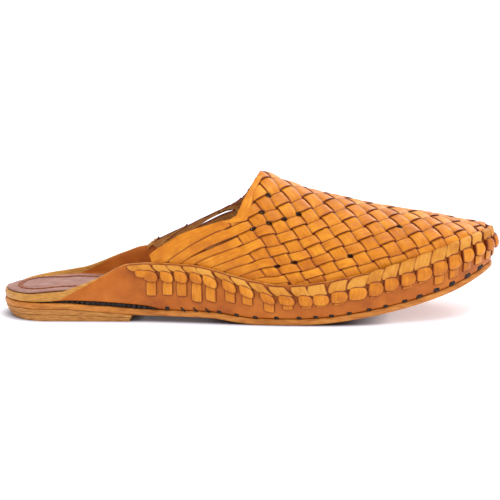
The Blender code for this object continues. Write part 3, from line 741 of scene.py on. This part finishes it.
# The woven vamp
# Strips of waxed leather about 8 mm wide, woven on the slant over the last. Their ends run down
# inside the turned-up side, and behind the throat they run on alone as a fan of loose strips.
INSTEP_RISE = 0.0515
UPPER_WALL = 0.0016
CREST_SHIFT = 0.0030
STRIP_THICK = 0.0011
RUBBED_EDGE = 0.00022
STRIP_TOP = 0.00245
STRIP_SINK = 0.00150
STRIP_HALF = 0.465
STRIP_WANDERS = 0.022
STRIP_NARROWER = -0.01
STRIP_VARIES = 0.018
WEAVE_SHARPNESS = 1.7
BORDER_DROP = 0.00028
WOVEN_TILT = 0.00022
LOOSE_TILT = 0.0004
HALF_WIDTH = 0.0042
ACROSS = 8
LOOSE_HALF = 0.56
OPEN_HALF = {"rising": 0.41, "falling": 0.470}
HOLE_REACH = 0.30
HOLE_DEPTH = 0.0008
HOLE_NARROWS = 0.13
# Where a strip crosses the crest: the first, the step to the next and the growth of that step
CREST_LINES = {"rising": (0.0228, 0.0116, 0.00014), "falling": (-0.0195, 0.0119, -0.0001)}
# How the two families mirror each other, and the last crossing before a strip runs on alone
WAY = {"rising": -1, "falling": 1}
LAST_CROSSING = {"rising": -1.5, "falling": -5.5}
STRIP_SLOPE = 0.80
STRIP_BEND = 21.3
STRIP_STRAIGHT = 0.012
PEAK_X = 0.0084

CREST_ROWS = (
    # station, share of the instep rise, power of the arch
    (0.250, 0.620, 1.75),
    (0.350, 0.860, 1.75),
    (0.450, 0.980, 1.75),
    (0.529, 1.000, 1.75),
    (0.573, 0.945, 1.78),
    (0.623, 0.837, 1.82),
    (0.667, 0.742, 1.88),
    (0.735, 0.590, 1.95),
    (0.815, 0.420, 2.00),
    (0.870, 0.295, 2.00),
    (0.902, 0.205, 2.00),
    (0.935, 0.105, 2.00),
    (0.978, 0.020, 2.00),
    (1.000, 0.000, 2.00),
)

COLLAR_ROWS = (
    # distance behind the throat's peak, share of the half girth on the outer and inner side
    (0.0000, 0.000, 0.000),
    (0.0016, 0.090, 0.100),
    (0.0040, 0.200, 0.220),
    (0.0064, 0.300, 0.320),
    (0.0102, 0.450, 0.420),
    (0.0117, 0.540, 0.450),
    (0.0153, 0.566, 0.515),
    (0.0202, 0.600, 0.570),
    (0.0240, 0.635, 0.615),
    (0.0322, 0.690, 0.700),
    (0.0412, 0.745, 0.785),
    (0.0512, 0.850, 0.870),
    (0.0652, 0.985, 0.995),
)

SPREAD_ROWS = (
    # line between two rising strips, distance that it moves down behind the weave
    (0.5, -0.0045),
    (1.5, 0.0016),
    (2.5, 0.0026),
    (3.5, 0.0024),
    (4.5, 0.0034),
    (5.5, 0.0026),
    (6.5, 0.0028),
    (8.5, 0.0000),
)
SPREAD_PLACES = (-0.5, 4.0)
OPENINGS = {"rising": (2.5, -1.0, -4.6), "falling": (4.6, -4.8, -8.8)}

# Crossings where the strips stand apart, as lines of the rising and of the falling family. There the
# strips sink and narrow, and their colour is painted near black, a painted shade for the dark hole.
HOLES = (
    (0.5, 1.5),
    (1.5, 0.5),
    (2.5, 1.5),
    (2.5, 0.5),
    (2.5, -0.5),
    (2.5, 2.5),
    (6.5, 0.5),
    (6.5, -0.5),
    (7.5, 3.5),
    (6.5, 7.5),
    (8.5, 13.5),
)

THROAT_ROWS = (
    # share of the half girth, width of the strip laid along the throat
    (0.02, 0.0022),
    (0.10, 0.0030),
    (0.18, 0.0033),
    (0.25, 0.0034),
    (0.33, 0.0042),
    (0.37, 0.0051),
    (0.43, 0.0057),
    (0.50, 0.0061),
    (0.60, 0.0066),
)
THROAT_ENDS = (0.11, 0.640)
THROAT_SET_BACK = 0.0008
THROAT_TUCK = 0.0012
THROAT_TAPER = 0.07
LAST_PLACE_AT_THROAT = -2.6

(throat_width,) = smooth_table(THROAT_ROWS)
crest_part, arch_power = smooth_table(CREST_ROWS)
(spread,) = smooth_table(SPREAD_ROWS)
ARCH = np.linspace(0, np.pi, 181)
SHARES = np.linspace(-1, 1, 161)
PLACES = np.arange(-15, 21)


def last_surface():
    """Sections across the last: their lengths, half girths and points at even shares of girth."""
    feet = {}
    for side in (-1, 1):
        inset = RIM_LEAN * (1 - ease(FINE, *UPRIGHT_TOE)) + WALL + CLEAR
        inset = inset + UPPER_WALL * (1 - ease(FINE, 0.80, 1.0))
        x, y = edge_points(FINE, side, inset)
        feet[side] = (x - CENTRE[0], y - CENTRE[1])
    rims = {side: rim_top(FINE, side) + CLEAR for side in (-1, 1)}
    first = -0.25 * SOLE_LENGTH
    last = min(feet[-1][0].max(), feet[1][0].max()) - 1e-5
    places = first + (last - first) * np.sin(np.linspace(0, np.pi / 2, 260))
    points = []
    girths = []
    for x in places:
        station = x / SOLE_LENGTH + 0.5
        outer, inner = (np.interp(x, *feet[side]) for side in (-1, 1))
        low_outer, low_inner = (np.interp(x, feet[side][0], rims[side]) for side in (-1, 1))
        power = 2 / arch_power(station)
        across = np.sign(np.cos(ARCH)) * np.abs(np.cos(ARCH)) ** power
        rise = np.abs(np.sin(ARCH)) ** power
        crest = crest_part(station)
        y = (outer + inner) / 2 - (inner - outer) / 2 * across + CREST_SHIFT * crest * rise
        z = (low_outer + low_inner) / 2 - (low_inner - low_outer) / 2 * across
        z = z + INSTEP_RISE * crest * rise
        girth = np.concatenate([[0], np.cumsum(np.hypot(np.diff(y), np.diff(z)))])
        girth -= girth[len(girth) // 2]
        at = np.where(SHARES < 0, -SHARES * girth[0], SHARES * girth[-1])
        level_x = np.full(len(at), x)
        points.append(np.column_stack([level_x, np.interp(at, girth, y), np.interp(at, girth, z)]))
        girths.append((-girth[0], girth[-1]))
    return places, np.array(girths), np.array(points)


LAST_X, LAST_GIRTH, LAST_POINTS = last_surface()
along_foot = np.gradient(LAST_POINTS, axis=0)
across_foot = np.gradient(LAST_POINTS, axis=1)
LAST_NORMALS = np.cross(along_foot, across_foot)
LAST_NORMALS /= np.linalg.norm(LAST_NORMALS, axis=2, keepdims=True)


def half_girth(x, girth):
    outer = np.interp(x, LAST_X, LAST_GIRTH[:, 0])
    inner = np.interp(x, LAST_X, LAST_GIRTH[:, 1])
    return np.where(girth < 0, outer, inner)


def over_last(x, girth, height):
    """Points over the last at a length, a girth from the crest and a height off its surface.

    What is past the rim runs straight down inside the turned-up side."""
    half = half_girth(x, girth)
    past = np.maximum(np.abs(girth) - half, 0)
    column = (np.clip(girth / half, -1, 1) + 1) / 2 * (len(SHARES) - 1)
    j = np.clip(column.astype(int), 0, len(SHARES) - 2)
    v = (column - j)[:, None]
    k = np.clip(np.searchsorted(LAST_X, x) - 1, 0, len(LAST_X) - 2)
    u = np.clip((x - LAST_X[k]) / (LAST_X[k + 1] - LAST_X[k]), 0, 1)[:, None]

    def blend(grid):
        low = grid[k, j] * (1 - v) + grid[k, j + 1] * v
        high = grid[k + 1, j] * (1 - v) + grid[k + 1, j + 1] * v
        return low * (1 - u) + high * u

    normal = blend(LAST_NORMALS)
    normal /= np.linalg.norm(normal, axis=1, keepdims=True)
    point = blend(LAST_POINTS) + normal * height[:, None]
    point[:, 2] -= past
    point[:, :2] += CENTRE
    return point


def strip_shift(girth):
    """How far along the foot a strip has moved at a girth from where it crosses the crest."""
    return STRIP_SLOPE * girth - STRIP_BEND * np.maximum(0.0, -girth - STRIP_STRAIGHT) ** 2


def at_crest(family, number):
    first, step, growth = CREST_LINES[family]
    return first + step * number + growth * number**2


def crossing(rising, falling):
    """Where two strips meet in the flat pattern, as a length and a girth."""
    apart = at_crest("falling", falling) - at_crest("rising", rising)
    straight = 2 * STRIP_SLOPE * STRIP_STRAIGHT
    past = np.maximum(np.abs(apart) - straight, 0)
    root = np.sqrt(4 * STRIP_SLOPE**2 + 4 * STRIP_BEND * past)
    bent = STRIP_STRAIGHT + (root - 2 * STRIP_SLOPE) / (2 * STRIP_BEND)
    girth = np.where(past > 0, bent, np.abs(apart) / (2 * STRIP_SLOPE)) * np.sign(apart)
    x = at_crest("rising", rising) + strip_shift(girth)
    return x, np.where(girth < 0, girth - spread(rising) * ease(-falling, *SPREAD_PLACES), girth)


collar_behind, collar_outer, collar_inner = np.array(COLLAR_ROWS).T


def inside_pattern(x, girth):
    """How far inside the collar's edge and the toe's tip a flat point lies."""
    share = np.abs(girth) / half_girth(x, girth)
    outer = np.interp(share, collar_outer, collar_behind)
    collar = PEAK_X - np.where(girth < 0, outer, np.interp(share, collar_inner, collar_behind))
    return np.minimum(x - collar, (LAST_X[-1] - 0.0012 - x) * 3)


def place_on_strip(family, number, place, side):
    """Flat coordinates at a place along a strip, with the side from -1 to 1 across it.

    In the weave the strips stand a little apart. Behind it they overlap, except at an opening."""
    loose = ease(LAST_CROSSING[family] - place, -0.3, 0.5)
    turned = side * WAY[family]
    line, first, last = OPENINGS[family]
    beside = np.abs(number + np.sign(turned) * 0.5 - line) < 0.2
    opened = ease(-place, -first - 0.3, -first + 0.3) * (1 - ease(-place, -last - 1.6, -last)) * beside
    loose_half = LOOSE_HALF + (OPEN_HALF[family] - LOOSE_HALF) * opened
    across = number + turned * (STRIP_HALF * (1 - loose) + loose_half * loose)
    return crossing(across, place) if family == "rising" else crossing(place, across)


def flat_strip(steps):
    """A flat strip, with its corners and how far across it they lie, from -1 to 1."""
    bpy.ops.mesh.primitive_grid_add(x_subdivisions=steps, y_subdivisions=ACROSS, size=2)
    strip = bpy.context.object
    co = np.array([v.co[:] for v in strip.data.vertices])
    return strip, co, np.sign(co[:, 1]) * np.abs(co[:, 1]) ** 0.7


def trimmed_end(keep, a, b):
    """How far inside the pattern the nearest neighbour of an outer corner is, and which it is."""
    for da, db in ((0, 1), (0, -1), (1, 0), (-1, 0), (1, 1), (1, -1), (-1, 1), (-1, -1)):
        near = keep[a + 1 + da, b + 1 + db]
        if near > 0:
            return near, (a + da, b + db)
    return None


def woven_strip(family, number, chance):
    """One strip, cut to the pattern, woven over and under, and laid on the last."""
    sample = np.linspace(-14, 20, 1400)
    x, girth = place_on_strip(family, number, sample, 0.0)
    inside = (np.abs(girth) < half_girth(x, girth) + 0.0015) & (x > LAST_X[0] + 0.003) & (x < LAST_X[-1])
    if family == "rising" and number <= 0:
        inside &= sample > LAST_PLACE_AT_THROAT
    if inside.sum() < 20:
        return None
    first, last = sample[inside][[0, -1]]
    steps = int((last - first) * 10)
    strip, co, side = flat_strip(steps)
    mesh = strip.data
    columns = np.rint((co[:, 0] + 1) / 2 * steps).astype(int)
    rows = np.rint((co[:, 1] + 1) / 2 * ACROSS).astype(int)
    order = np.zeros((steps + 1, ACROSS + 1), int)
    order[columns, rows] = np.arange(len(co))
    place = first + (last - first) * (co[:, 0] + 1) / 2
    wander = np.interp(place, PLACES, chance.normal(0, STRIP_WANDERS, len(PLACES)))
    width = 1 + np.interp(place, PLACES, chance.normal(STRIP_NARROWER, STRIP_VARIES, len(PLACES)))
    parity = WAY[family] * (1 - 2 * (number % 2))
    wave = np.tanh(WEAVE_SHARPNESS * parity * np.cos(np.pi * place)) / np.tanh(WEAVE_SHARPNESS)
    loose = ease(LAST_CROSSING[family] - place, -0.1, 0.7)
    high = STRIP_TOP - STRIP_SINK * (0.5 - 0.5 * wave)
    high = high * (1 - loose) + (STRIP_TOP - 0.35 * STRIP_SINK) * loose
    high -= BORDER_DROP * np.abs(side) ** 5
    high += WOVEN_TILT * side * WAY[family] * (1 - loose) + LOOSE_TILT * side * loose
    line = number + side * STRIP_HALF * WAY[family]
    # Near a hole the strip sinks and narrows, and its material paints it near black there, a painted
    # shade.
    near_hole = np.zeros(len(co))
    for hole in HOLES:
        own, other = hole if family == "rising" else hole[::-1]
        near_hole = np.maximum(near_hole, 1 - np.hypot(line - own, place - other) / HOLE_REACH)
    high -= HOLE_DEPTH * near_hole
    width = width * (1 - HOLE_NARROWS * near_hole)
    x, girth = place_on_strip(family, number, place, side * width + wander)
    rim_gap = half_girth(x, girth) - np.abs(girth)
    thinned = UPPER_WALL + (high - UPPER_WALL) * ease(rim_gap, -0.001, 0.004)
    high = np.where(rim_gap < 0.004, thinned, high)
    keep = inside_pattern(x, girth)[order]
    padded_keep = np.pad(keep, 1, constant_values=-1.0)
    drop = []
    flat = np.stack([x, girth])
    moved = flat.copy()
    for a, b in zip(*np.where(keep < 0)):
        here = order[a, b]
        end = trimmed_end(padded_keep, a, b)
        if end is None:
            drop.append(here)
            continue
        near, spot = end
        there = order[spot]
        part = near / (near - keep[a, b])
        moved[:, here] = flat[:, there] + (flat[:, here] - flat[:, there]) * part
    if len(drop) > len(co) - 30:
        bpy.data.objects.remove(strip)
        return None
    mesh.vertices.foreach_set("co", over_last(*moved, high).ravel())
    tones = np.interp(place, PLACES - 0.5, chance.normal(0, 0.5, len(PLACES))) + chance.normal(0, 0.25)
    across = side * HALF_WIDTH + number
    add_levels(mesh, tone=tones, border=np.abs(side), hole=near_hole, run=place * 0.0085, across=across)
    if drop:
        edit_part(mesh, "VERT", np.isin(np.arange(len(co)), drop), bpy.ops.mesh.delete, type="VERT")
    return strip


def strip_leather(name, main, light, dark, roughness, coat):
    """Waxed strip leather: fibre along the strip, a tone for each stretch, borders darkened partly as
    burnish and partly as painted shade, and a painted near-black shade near the holes.
    """
    made, tree = new_material(name)
    place = add_node(tree, "TexCoord").outputs["Object"]
    plan = {0: read_level(tree, "run"), 1: read_level(tree, "across")}
    along = add_node(tree, "CombineXYZ", plan).outputs[0]
    fibre = noise(tree, stretch(tree, along, (0.35, 2.2, 1)), 420.0, 4.0, 0.6)
    both = calculate(tree, "ADD", fibre, noise(tree, place, 160.0, 3.0))
    shifted = calculate(tree, "MULTIPLY_ADD", read_level(tree, "tone"), 0.22, both)
    tone = ramp(tree, calculate(tree, "MULTIPLY", shifted, 0.5), (0.33, dark), (0.5, main), (0.68, light))
    # The borders darken toward dark red-brown: partly the burnish and dye of the strip's edge, partly
    # painted shade where strips and thongs meet.
    border = between(tree, read_level(tree, "border"), 0.80, 0.94)
    burnished_and_painted_shade = mix_colours(tree, border, tone, srgb("762c06"))
    # Painted shade: near a hole the colour is painted near black, standing in for the dark inside of the
    # hole.
    shade = between(tree, read_level(tree, "hole"), 0.25, 0.55)
    colour = mix_colours(tree, shade, burnished_and_painted_shade, srgb("1c0d07"))
    relief = calculate(tree, "ADD", cells(tree, place, 1900.0), fibre)
    leather_surface(tree, colour, roughness, relief, 0.16, coat, 0.35)
    return made


grain_side = strip_leather("waxed strip leather", "d27c0c", "e6941f", "bd670a", 0.45, 0.05)
flesh_side = leather("flesh side of the strips", "bd8446", "cf9858", "a56e38", 0.85, 0.7, 6.0, bump=0.35)
strip_edge = leather("dyed edge of the strips", "6a2806", "7e360c", "521c04", 0.6, 0.5, 5.0, bump=0.2)


def throat_strip(side_of_foot, chance):
    """The strip laid over the ends of the others along the throat, from the peak to the fan."""
    strip, co, side = flat_strip(60)
    first, last = THROAT_ENDS
    share = first + (last - first) * (1 - side_of_foot * co[:, 0]) / 2
    shares = collar_outer if side_of_foot < 0 else collar_inner
    back = PEAK_X - np.interp(share, shares, collar_behind)
    back += THROAT_SET_BACK * (side_of_foot > 0)
    ending = ease(share, last - THROAT_TAPER, last)
    x = back + throat_width(share) * (1 - 0.7 * ending) * (side + 1) / 2
    girth = side_of_foot * share * half_girth(x, np.full(len(x), side_of_foot))
    high = STRIP_TOP + 0.0002 - 0.0005 * np.abs(side) ** 4 - THROAT_TUCK * ending
    strip.data.vertices.foreach_set("co", over_last(x, girth, high).ravel())
    tones = np.full(len(co), chance.normal(0, 0.3))
    across = side * HALF_WIDTH + side_of_foot
    run = share * 0.06
    add_levels(strip.data, tone=tones, border=np.abs(side), hole=0 * side, run=run, across=across)
    return strip


def join_pieces(name, pieces):
    select_only(*pieces)
    bpy.ops.object.join()
    joined = bpy.context.object
    joined.name = name
    joined.data.name = name
    return joined


def join_strips(name, strips):
    """Strips laid on the last, joined in one piece and given their thickness and rubbed edges."""
    joined = join_pieces(name, strips)
    for made in (grain_side, flesh_side, strip_edge):
        joined.data.materials.append(made)
    faces = {"material_offset": 1, "material_offset_rim": 2}
    change_shape(joined, "strip thickness", "SOLIDIFY", thickness=STRIP_THICK, offset=-1, **faces)
    corners = {"limit_method": "ANGLE", "angle_limit": np.radians(50)}
    change_shape(joined, "rubbed edges", "BEVEL", width=RUBBED_EDGE, segments=2, **corners)
    bpy.ops.object.shade_smooth_by_angle(angle=np.radians(45))
    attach(joined, "root")
    return joined


strips = []
for family, seed, numbers in (("rising", 11, range(-5, 12)), ("falling", 12, range(-1, 18))):
    chance = np.random.default_rng(seed)
    laid = [woven_strip(family, number, chance) for number in numbers]
    strips.append(join_strips(family + "_strips", [strip for strip in laid if strip]))
strips.append(join_strips("throat_strips", [throat_strip(side, chance) for side in (-1, 1)]))
for piece in strips:
    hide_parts("upper")


# The lacing round the side
# A flat thong wound through slits in the turned-up side and over its rim. Each turn shows as a
# slanting piece under the rim, a puffed piece below it and, at the waist, a straight end.
LOOP_ROWS = (
    # station, drop to the middle of the puffed piece, half its height, half its width,
    # drop to the foot of the straight end, lean of the top piece
    (0.2960, 0.0054, 0.0022, 0.0034, 0.0000, -0.0044),
    (0.3154, 0.0068, 0.0032, 0.0040, 0.0178, -0.0045),
    (0.3482, 0.0068, 0.0031, 0.0037, 0.0170, -0.0042),
    (0.3780, 0.0064, 0.0033, 0.0038, 0.0171, -0.0040),
    (0.4085, 0.0062, 0.0029, 0.0035, 0.0194, -0.0036),
    (0.4370, 0.0064, 0.0031, 0.0040, 0.0174, -0.0034),
    (0.4755, 0.0060, 0.0030, 0.0039, 0.0146, -0.0045),
    (0.5115, 0.0062, 0.0028, 0.0040, 0.0134, -0.0048),
    (0.5540, 0.0074, 0.0027, 0.0041, 0.0148, -0.0070),
    (0.5920, 0.0076, 0.0028, 0.0044, 0.0128, -0.0060),
    (0.6290, 0.0084, 0.0032, 0.0039, 0.0126, -0.0040),
    (0.6590, 0.0090, 0.0032, 0.0044, 0.0128, -0.0020),
    (0.6930, 0.0092, 0.0034, 0.0045, 0.0132, 0.0015),
    (0.7290, 0.0092, 0.0037, 0.0049, 0.0000, 0.0040),
    (0.7640, 0.0087, 0.0040, 0.0039, 0.0130, 0.0030),
    (0.7940, 0.0082, 0.0037, 0.0039, 0.0124, 0.0035),
    (0.8270, 0.0082, 0.0038, 0.0041, 0.0130, 0.0035),
    (0.8590, 0.0082, 0.0038, 0.0043, 0.0126, 0.0035),
    (0.8900, 0.0081, 0.0040, 0.0041, 0.0168, 0.0040),
    (0.9190, 0.0078, 0.0042, 0.0038, 0.0166, 0.0035),
    (0.9450, 0.0072, 0.0040, 0.0036, 0.0158, 0.0030),
    (0.9680, 0.0066, 0.0038, 0.0036, 0.0150, 0.0025),
    (0.9880, 0.0062, 0.0036, 0.0036, 0.0145, 0.0020),
    (1.0000, 0.0062, 0.0036, 0.0032, 0.0140, 0.0000),
)
TIP_LOOP_OFF = 0.0032
TOP_DROP = 0.0004
TOP_OVER = 0.0034
TOP_OVER_STATIONS = (0.70, 0.86)
PUFF_THICK = 0.0024
TOE_BULGE = 0.0010
TOE_BULGE_STATIONS = (0.92, 0.99)
END_HALF = 0.0030

rim_steps = FINE[FINE >= 0.25]
rim_path = [(s, -1) for s in rim_steps[:-1]] + [(s, 1) for s in rim_steps[::-1]]
rim_station = np.array([s for s, _ in rim_path])


def lengths_along(points):
    """How far along a line each of its points lies."""
    return np.concatenate([[0], np.cumsum(np.hypot(*np.diff(points, axis=0).T))])


rim_along = lengths_along(np.array([edge_points(s, side, 0.0) for s, side in rim_path]))
toe_along = rim_along[int(np.argmax(rim_station))]


def beside_wall(along, drop, out):
    """Points outside the turned-up side, at a length along its rim, a drop below it and a
    distance out of it."""
    along = np.clip(along, 0, rim_along[-1])
    station = np.interp(along, rim_along, rim_station)
    points = np.zeros((len(along), 3))
    for side in (-1, 1):
        pick = (along < toe_along) == (side < 0)
        here, top = station[pick], rim_top(station[pick], side)
        share = np.clip(1 - drop[pick] / (top - side_foot(here)), 0, 1)
        inset = side_inset(here, side, share) - out[pick]
        points[pick, 0], points[pick, 1] = edge_points(here, side, inset)
        points[pick, 2] = top - drop[pick]
    return points


def soft_cube(name, cuts):
    """A cube with soft corners, cut so many times along each edge."""
    bpy.ops.mesh.primitive_cube_add(size=2)
    made = bpy.context.object
    made.name = name
    every = np.ones(len(made.data.polygons), bool)
    edit_part(made.data, "FACE", every, bpy.ops.mesh.subdivide, number_cuts=cuts)
    change_shape(made, "soft corners", "SUBSURF", levels=1, render_levels=1)
    return made


big_pad = soft_cube("big_pad", 4)
small_pad = soft_cube("small_pad", 1)


def pads_along(name, places, look, pad=big_pad):
    """Copies of the pad, each shaped by a function of its own corners, joined in one piece."""
    corners = np.array([v.co[:] for v in pad.data.vertices])
    corners /= np.abs(corners).max()
    wide, long = corners[:, 0], corners[:, 1]
    border = np.maximum(np.abs(wide), np.abs(long))
    copies = []
    for shape, tone in places:
        copy = pad.copy()
        copy.data = pad.data.copy()
        bpy.context.scene.collection.objects.link(copy)
        copy.data.vertices.foreach_set("co", shape(corners).ravel())
        run, across = long * 0.004 + tone, wide * 0.004 + tone * 3
        add_levels(copy.data, tone=np.full(len(corners), tone), border=border, run=run, across=across)
        copies.append(copy)
    joined = join_pieces(name, copies)
    turn_faces_out(joined.data)
    finish_piece(joined, look, 60)
    return joined


def pad_on_wall(centre, way, top, foot, half, shift, thick, base, turned=0.0, curl=0.0, round_off=0.1):
    """A pad on the wall, from its top to its foot, with a shift of its top along the rim.

    Its corners are rounded off, its crown is puffed, and its sides bow by the curl. A top above
    the rim lies over it, onto the weave."""

    def shape(corners):
        wide = corners[:, 0] * np.sqrt(1 - round_off * corners[:, 1] ** 2)
        long = corners[:, 1] * np.sqrt(1 - round_off * corners[:, 0] ** 2)
        part = (long + 1) / 2
        along = centre + way * (wide * half + shift * (1 - part) + curl * (1 - long**2))
        down = top + (foot - top) * part + turned * wide
        crown = 1 - 0.35 * corners[:, 0] ** 2 - 0.25 * corners[:, 1] ** 2
        out = base + thick * (corners[:, 2] + 1) / 2 * crown
        over = np.maximum(-down, 0)
        drop = np.maximum(down, 0) - 0.35 * over - np.where(over > 0, out, 0) * 0.6
        return beside_wall(along, drop, out - over)

    return shape


def loop_middle(station, side):
    """Where the middle of a loop is along the rim. The last one stands beside the toe's middle."""
    if station == 1:
        return toe_along + side * TIP_LOOP_OFF
    before, after = rim_station[:-1], rim_station[1:]
    passed = (before <= station) & (after > station)
    if side > 0:
        passed = (before >= station) & (after < station)
    return rim_along[np.where(passed)[0][0]]


chance = np.random.default_rng(5)
top_pieces, puffed_pieces, straight_ends = [], [], []
for side in (-1, 1):
    way = -side
    for station, middle, half_height, half_width, foot, top_lean in LOOP_ROWS:
        at = loop_middle(station, side)
        tone = chance.normal(0, 0.6)
        head, tail = middle - half_height, middle + half_height
        top = TOP_DROP - TOP_OVER * ease(station, *TOP_OVER_STATIONS)
        thick = PUFF_THICK + TOE_BULGE * ease(station, *TOE_BULGE_STATIONS)
        slanting = pad_on_wall(
            at, way, top, head + 0.0012, half_width * 1.18, top_lean, thick=0.0014,
            base=0.0002, curl=-0.0010, round_off=0.22,
        )
        puffed = pad_on_wall(
            at, way, head, tail, half_width * 1.08, top_lean * 0.18, thick=thick,
            base=0.0001, turned=0.0007, curl=0.0006, round_off=0.40,
        )
        top_pieces.append((slanting, tone + 0.8))
        puffed_pieces.append((puffed, tone))
        if foot:
            straight = pad_on_wall(
                at + way * 0.0006, way, tail - 0.0008, foot, END_HALF, 0.0, thick=0.0012, base=0.0
            )
            straight_ends.append((straight, chance.normal(0, 0.6)))

thong_grain = strip_leather("lacing thong, grain side", "cf7a12", "de9026", "b5640c", 0.45, 0.05)
thong_flesh = strip_leather("lacing thong, flesh side", "c98026", "da973c", "b06a20", 0.6, 0.0)
lacing = pads_along("puffed_lacing", puffed_pieces, thong_grain)
lacing_tops = pads_along("slanting_lacing", top_pieces, thong_flesh)
lacing_ends = pads_along("straight_lacing_ends", straight_ends, thong_grain)
for piece in (lacing, lacing_tops, lacing_ends):
    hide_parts("lacing")


# The sole stitches
# Black waxed thread sewn by hand through the side and the outsole, close under the side's fold.
STITCH_STATIONS = (
    0.3799, 0.4055, 0.4298, 0.4541, 0.4895, 0.5270, 0.5700, 0.6150, 0.6479, 0.6796,
    0.7148, 0.7540, 0.7870, 0.8244, 0.8539, 0.8875, 0.9187, 0.9500, 0.9760,
)
STITCH_HALF = 0.00138
STITCH_HEIGHT = 0.0009
STITCH_DEPTH = 0.0003
THREAD_HALF = 0.00065
SLANT_STITCHES_BEFORE = 0.44
TOE_STITCH_GROWTH = 0.7


def stitch_at(station, side, half, inset, height):
    """A stitch along the outline. Its inset and height are functions of its own corners."""

    def shape(corners):
        at = station + corners[:, 0] * half / SOLE_LENGTH
        plan = edge_points(np.clip(at, 0, 1), side, inset(*corners.T))
        return np.column_stack([*plan, height(at, *corners.T)])

    return shape


def stitch_on_side(station, side, slant):
    """A stitch along the seam, drawn down by its slant and larger towards the toe."""
    grown = 1 + TOE_STITCH_GROWTH * float(ease(station, 0.80, 0.92))
    middle, thick = OUTSOLE_THICK + STITCH_HEIGHT * grown, THREAD_HALF * grown
    return stitch_at(
        station,
        side,
        STITCH_HALF * min(grown, 1.3),
        lambda x, y, z: EDGE_BREAK + STITCH_DEPTH - THREAD_HALF * z * (1 - 0.5 * x**2),
        lambda at, x, y, z: underside(at) + middle + y * thick - slant * x,
    )


stitches = [
    (stitch_on_side(station, side, 0.0013 if station < SLANT_STITCHES_BEFORE else 0.0002), 0.0)
    for side in (-1, 1)
    for station in STITCH_STATIONS
]
thread = leather("black waxed linen thread", "241a17", "352823", "15100f", 0.6, 0.4, 3.0, bump=0.4)
sole_stitches = pads_along("sole_stitches", stitches, thread, small_pad)


# The thread in the heel's slit
# The same thread, drawn up in stitches that show in the open slit between insole and outsole.
SLIT_STITCHES = np.arange(0.080, 0.325, 0.0105)
KNOT_STATION = 0.348


def slit_inset(x, y, z, deep):
    return deep + THREAD_HALF * (1 - z)


def slit_height(at, x, y, z):
    low, high = outsole_top(at), insole_under(at)
    return (low + high) / 2 + (high - low) / 2 * y * 0.98


def knot_height(at, x, y, z):
    return outsole_top(KNOT_STATION) + 0.0011 + y * 0.0010


slit_threads = []
for side in (-1, 1):
    for station in SLIT_STITCHES:
        deep, wide = chance.uniform(0.0008, 0.0020), chance.uniform(0.0011, 0.0018)
        drawn_in = partial(slit_inset, deep=deep)
        slit_threads.append((stitch_at(station, side, wide, drawn_in, slit_height), 0.0))
    knot = stitch_at(KNOT_STATION, side, 0.0012, lambda x, y, z: 0.0006 - 0.0009 * z, knot_height)
    slit_threads.append((knot, 0.0))
slit_thread = pads_along("slit_thread", slit_threads, thread, small_pad)


# The braid on the sock
# A narrow thong sewn in slanting stitches round the heel seat, from one leg to the other.
BRAID_PITCH = 0.0034
BRAID_LEGS = ((0.245, -1), (0.265, 1))
BRAID_IN = 0.0085
BRAID_TURN = 0.065
BRAID_DEPTH = 0.0125
BRAID_HALF_LONG = 0.0014
BRAID_HALF_WIDE = 0.0007
BRAID_HALF_THICK = 0.0004
BRAID_SLANT = 0.0008
BRAID_ASIDE = 0.0005


def braid_line():
    """The braid's line: up one leg, round the back of the heel seat and down the other."""
    legs = []
    for end, side in BRAID_LEGS:
        stations = np.linspace(end, BRAID_TURN, 70)
        legs.append(np.column_stack(edge_points(stations, side, sock_inset(stations, -1) + BRAID_IN)))
    near, far = legs
    middle, half = (near[-1] + far[-1]) / 2, (near[-1] - far[-1]) / 2
    angle = np.linspace(0, np.pi, 60)[1:-1, None]
    turn = middle + half * np.cos(angle) - np.array([BRAID_DEPTH, 0]) * np.sin(angle) ** 0.8
    return np.concatenate([near, turn, far[::-1]])


def braid_stitch(middle, run, way):
    """A stitch that slants across the braid's line, to one side of it or the other."""
    cross = np.array([-run[1], run[0]])

    def shape(corners):
        forward = corners[:, 0] * BRAID_HALF_LONG + way * corners[:, 1] * BRAID_SLANT
        aside = corners[:, 1] * BRAID_HALF_WIDE + way * BRAID_ASIDE
        plan = middle + forward[:, None] * run + aside[:, None] * cross
        height = sock_top(station_of(plan[:, 0])) + 0.0001 + BRAID_HALF_THICK * corners[:, 2]
        return np.column_stack([plan, height])

    return shape


braid_points = braid_line()
braid_along = lengths_along(braid_points)
braid = []
for k, at in enumerate(np.arange(0.001, braid_along[-1], BRAID_PITCH / 2)):
    middle, ahead = (
        np.array([np.interp(place, braid_along, braid_points[:, c]) for c in (0, 1)])
        for place in (at, at + 0.0005)
    )
    run = (ahead - middle) / max(np.linalg.norm(ahead - middle), 1e-9)
    braid.append((braid_stitch(middle, run, 1 if k % 2 else -1), chance.normal(0, 0.6)))
braid_thong = strip_leather("brown braided thong", "9a5c3a", "b07450", "84492c", 0.7, 0.0)
sock_braid = pads_along("sock_braid", braid, braid_thong, small_pad)
bpy.data.objects.remove(big_pad)
bpy.data.objects.remove(small_pad)
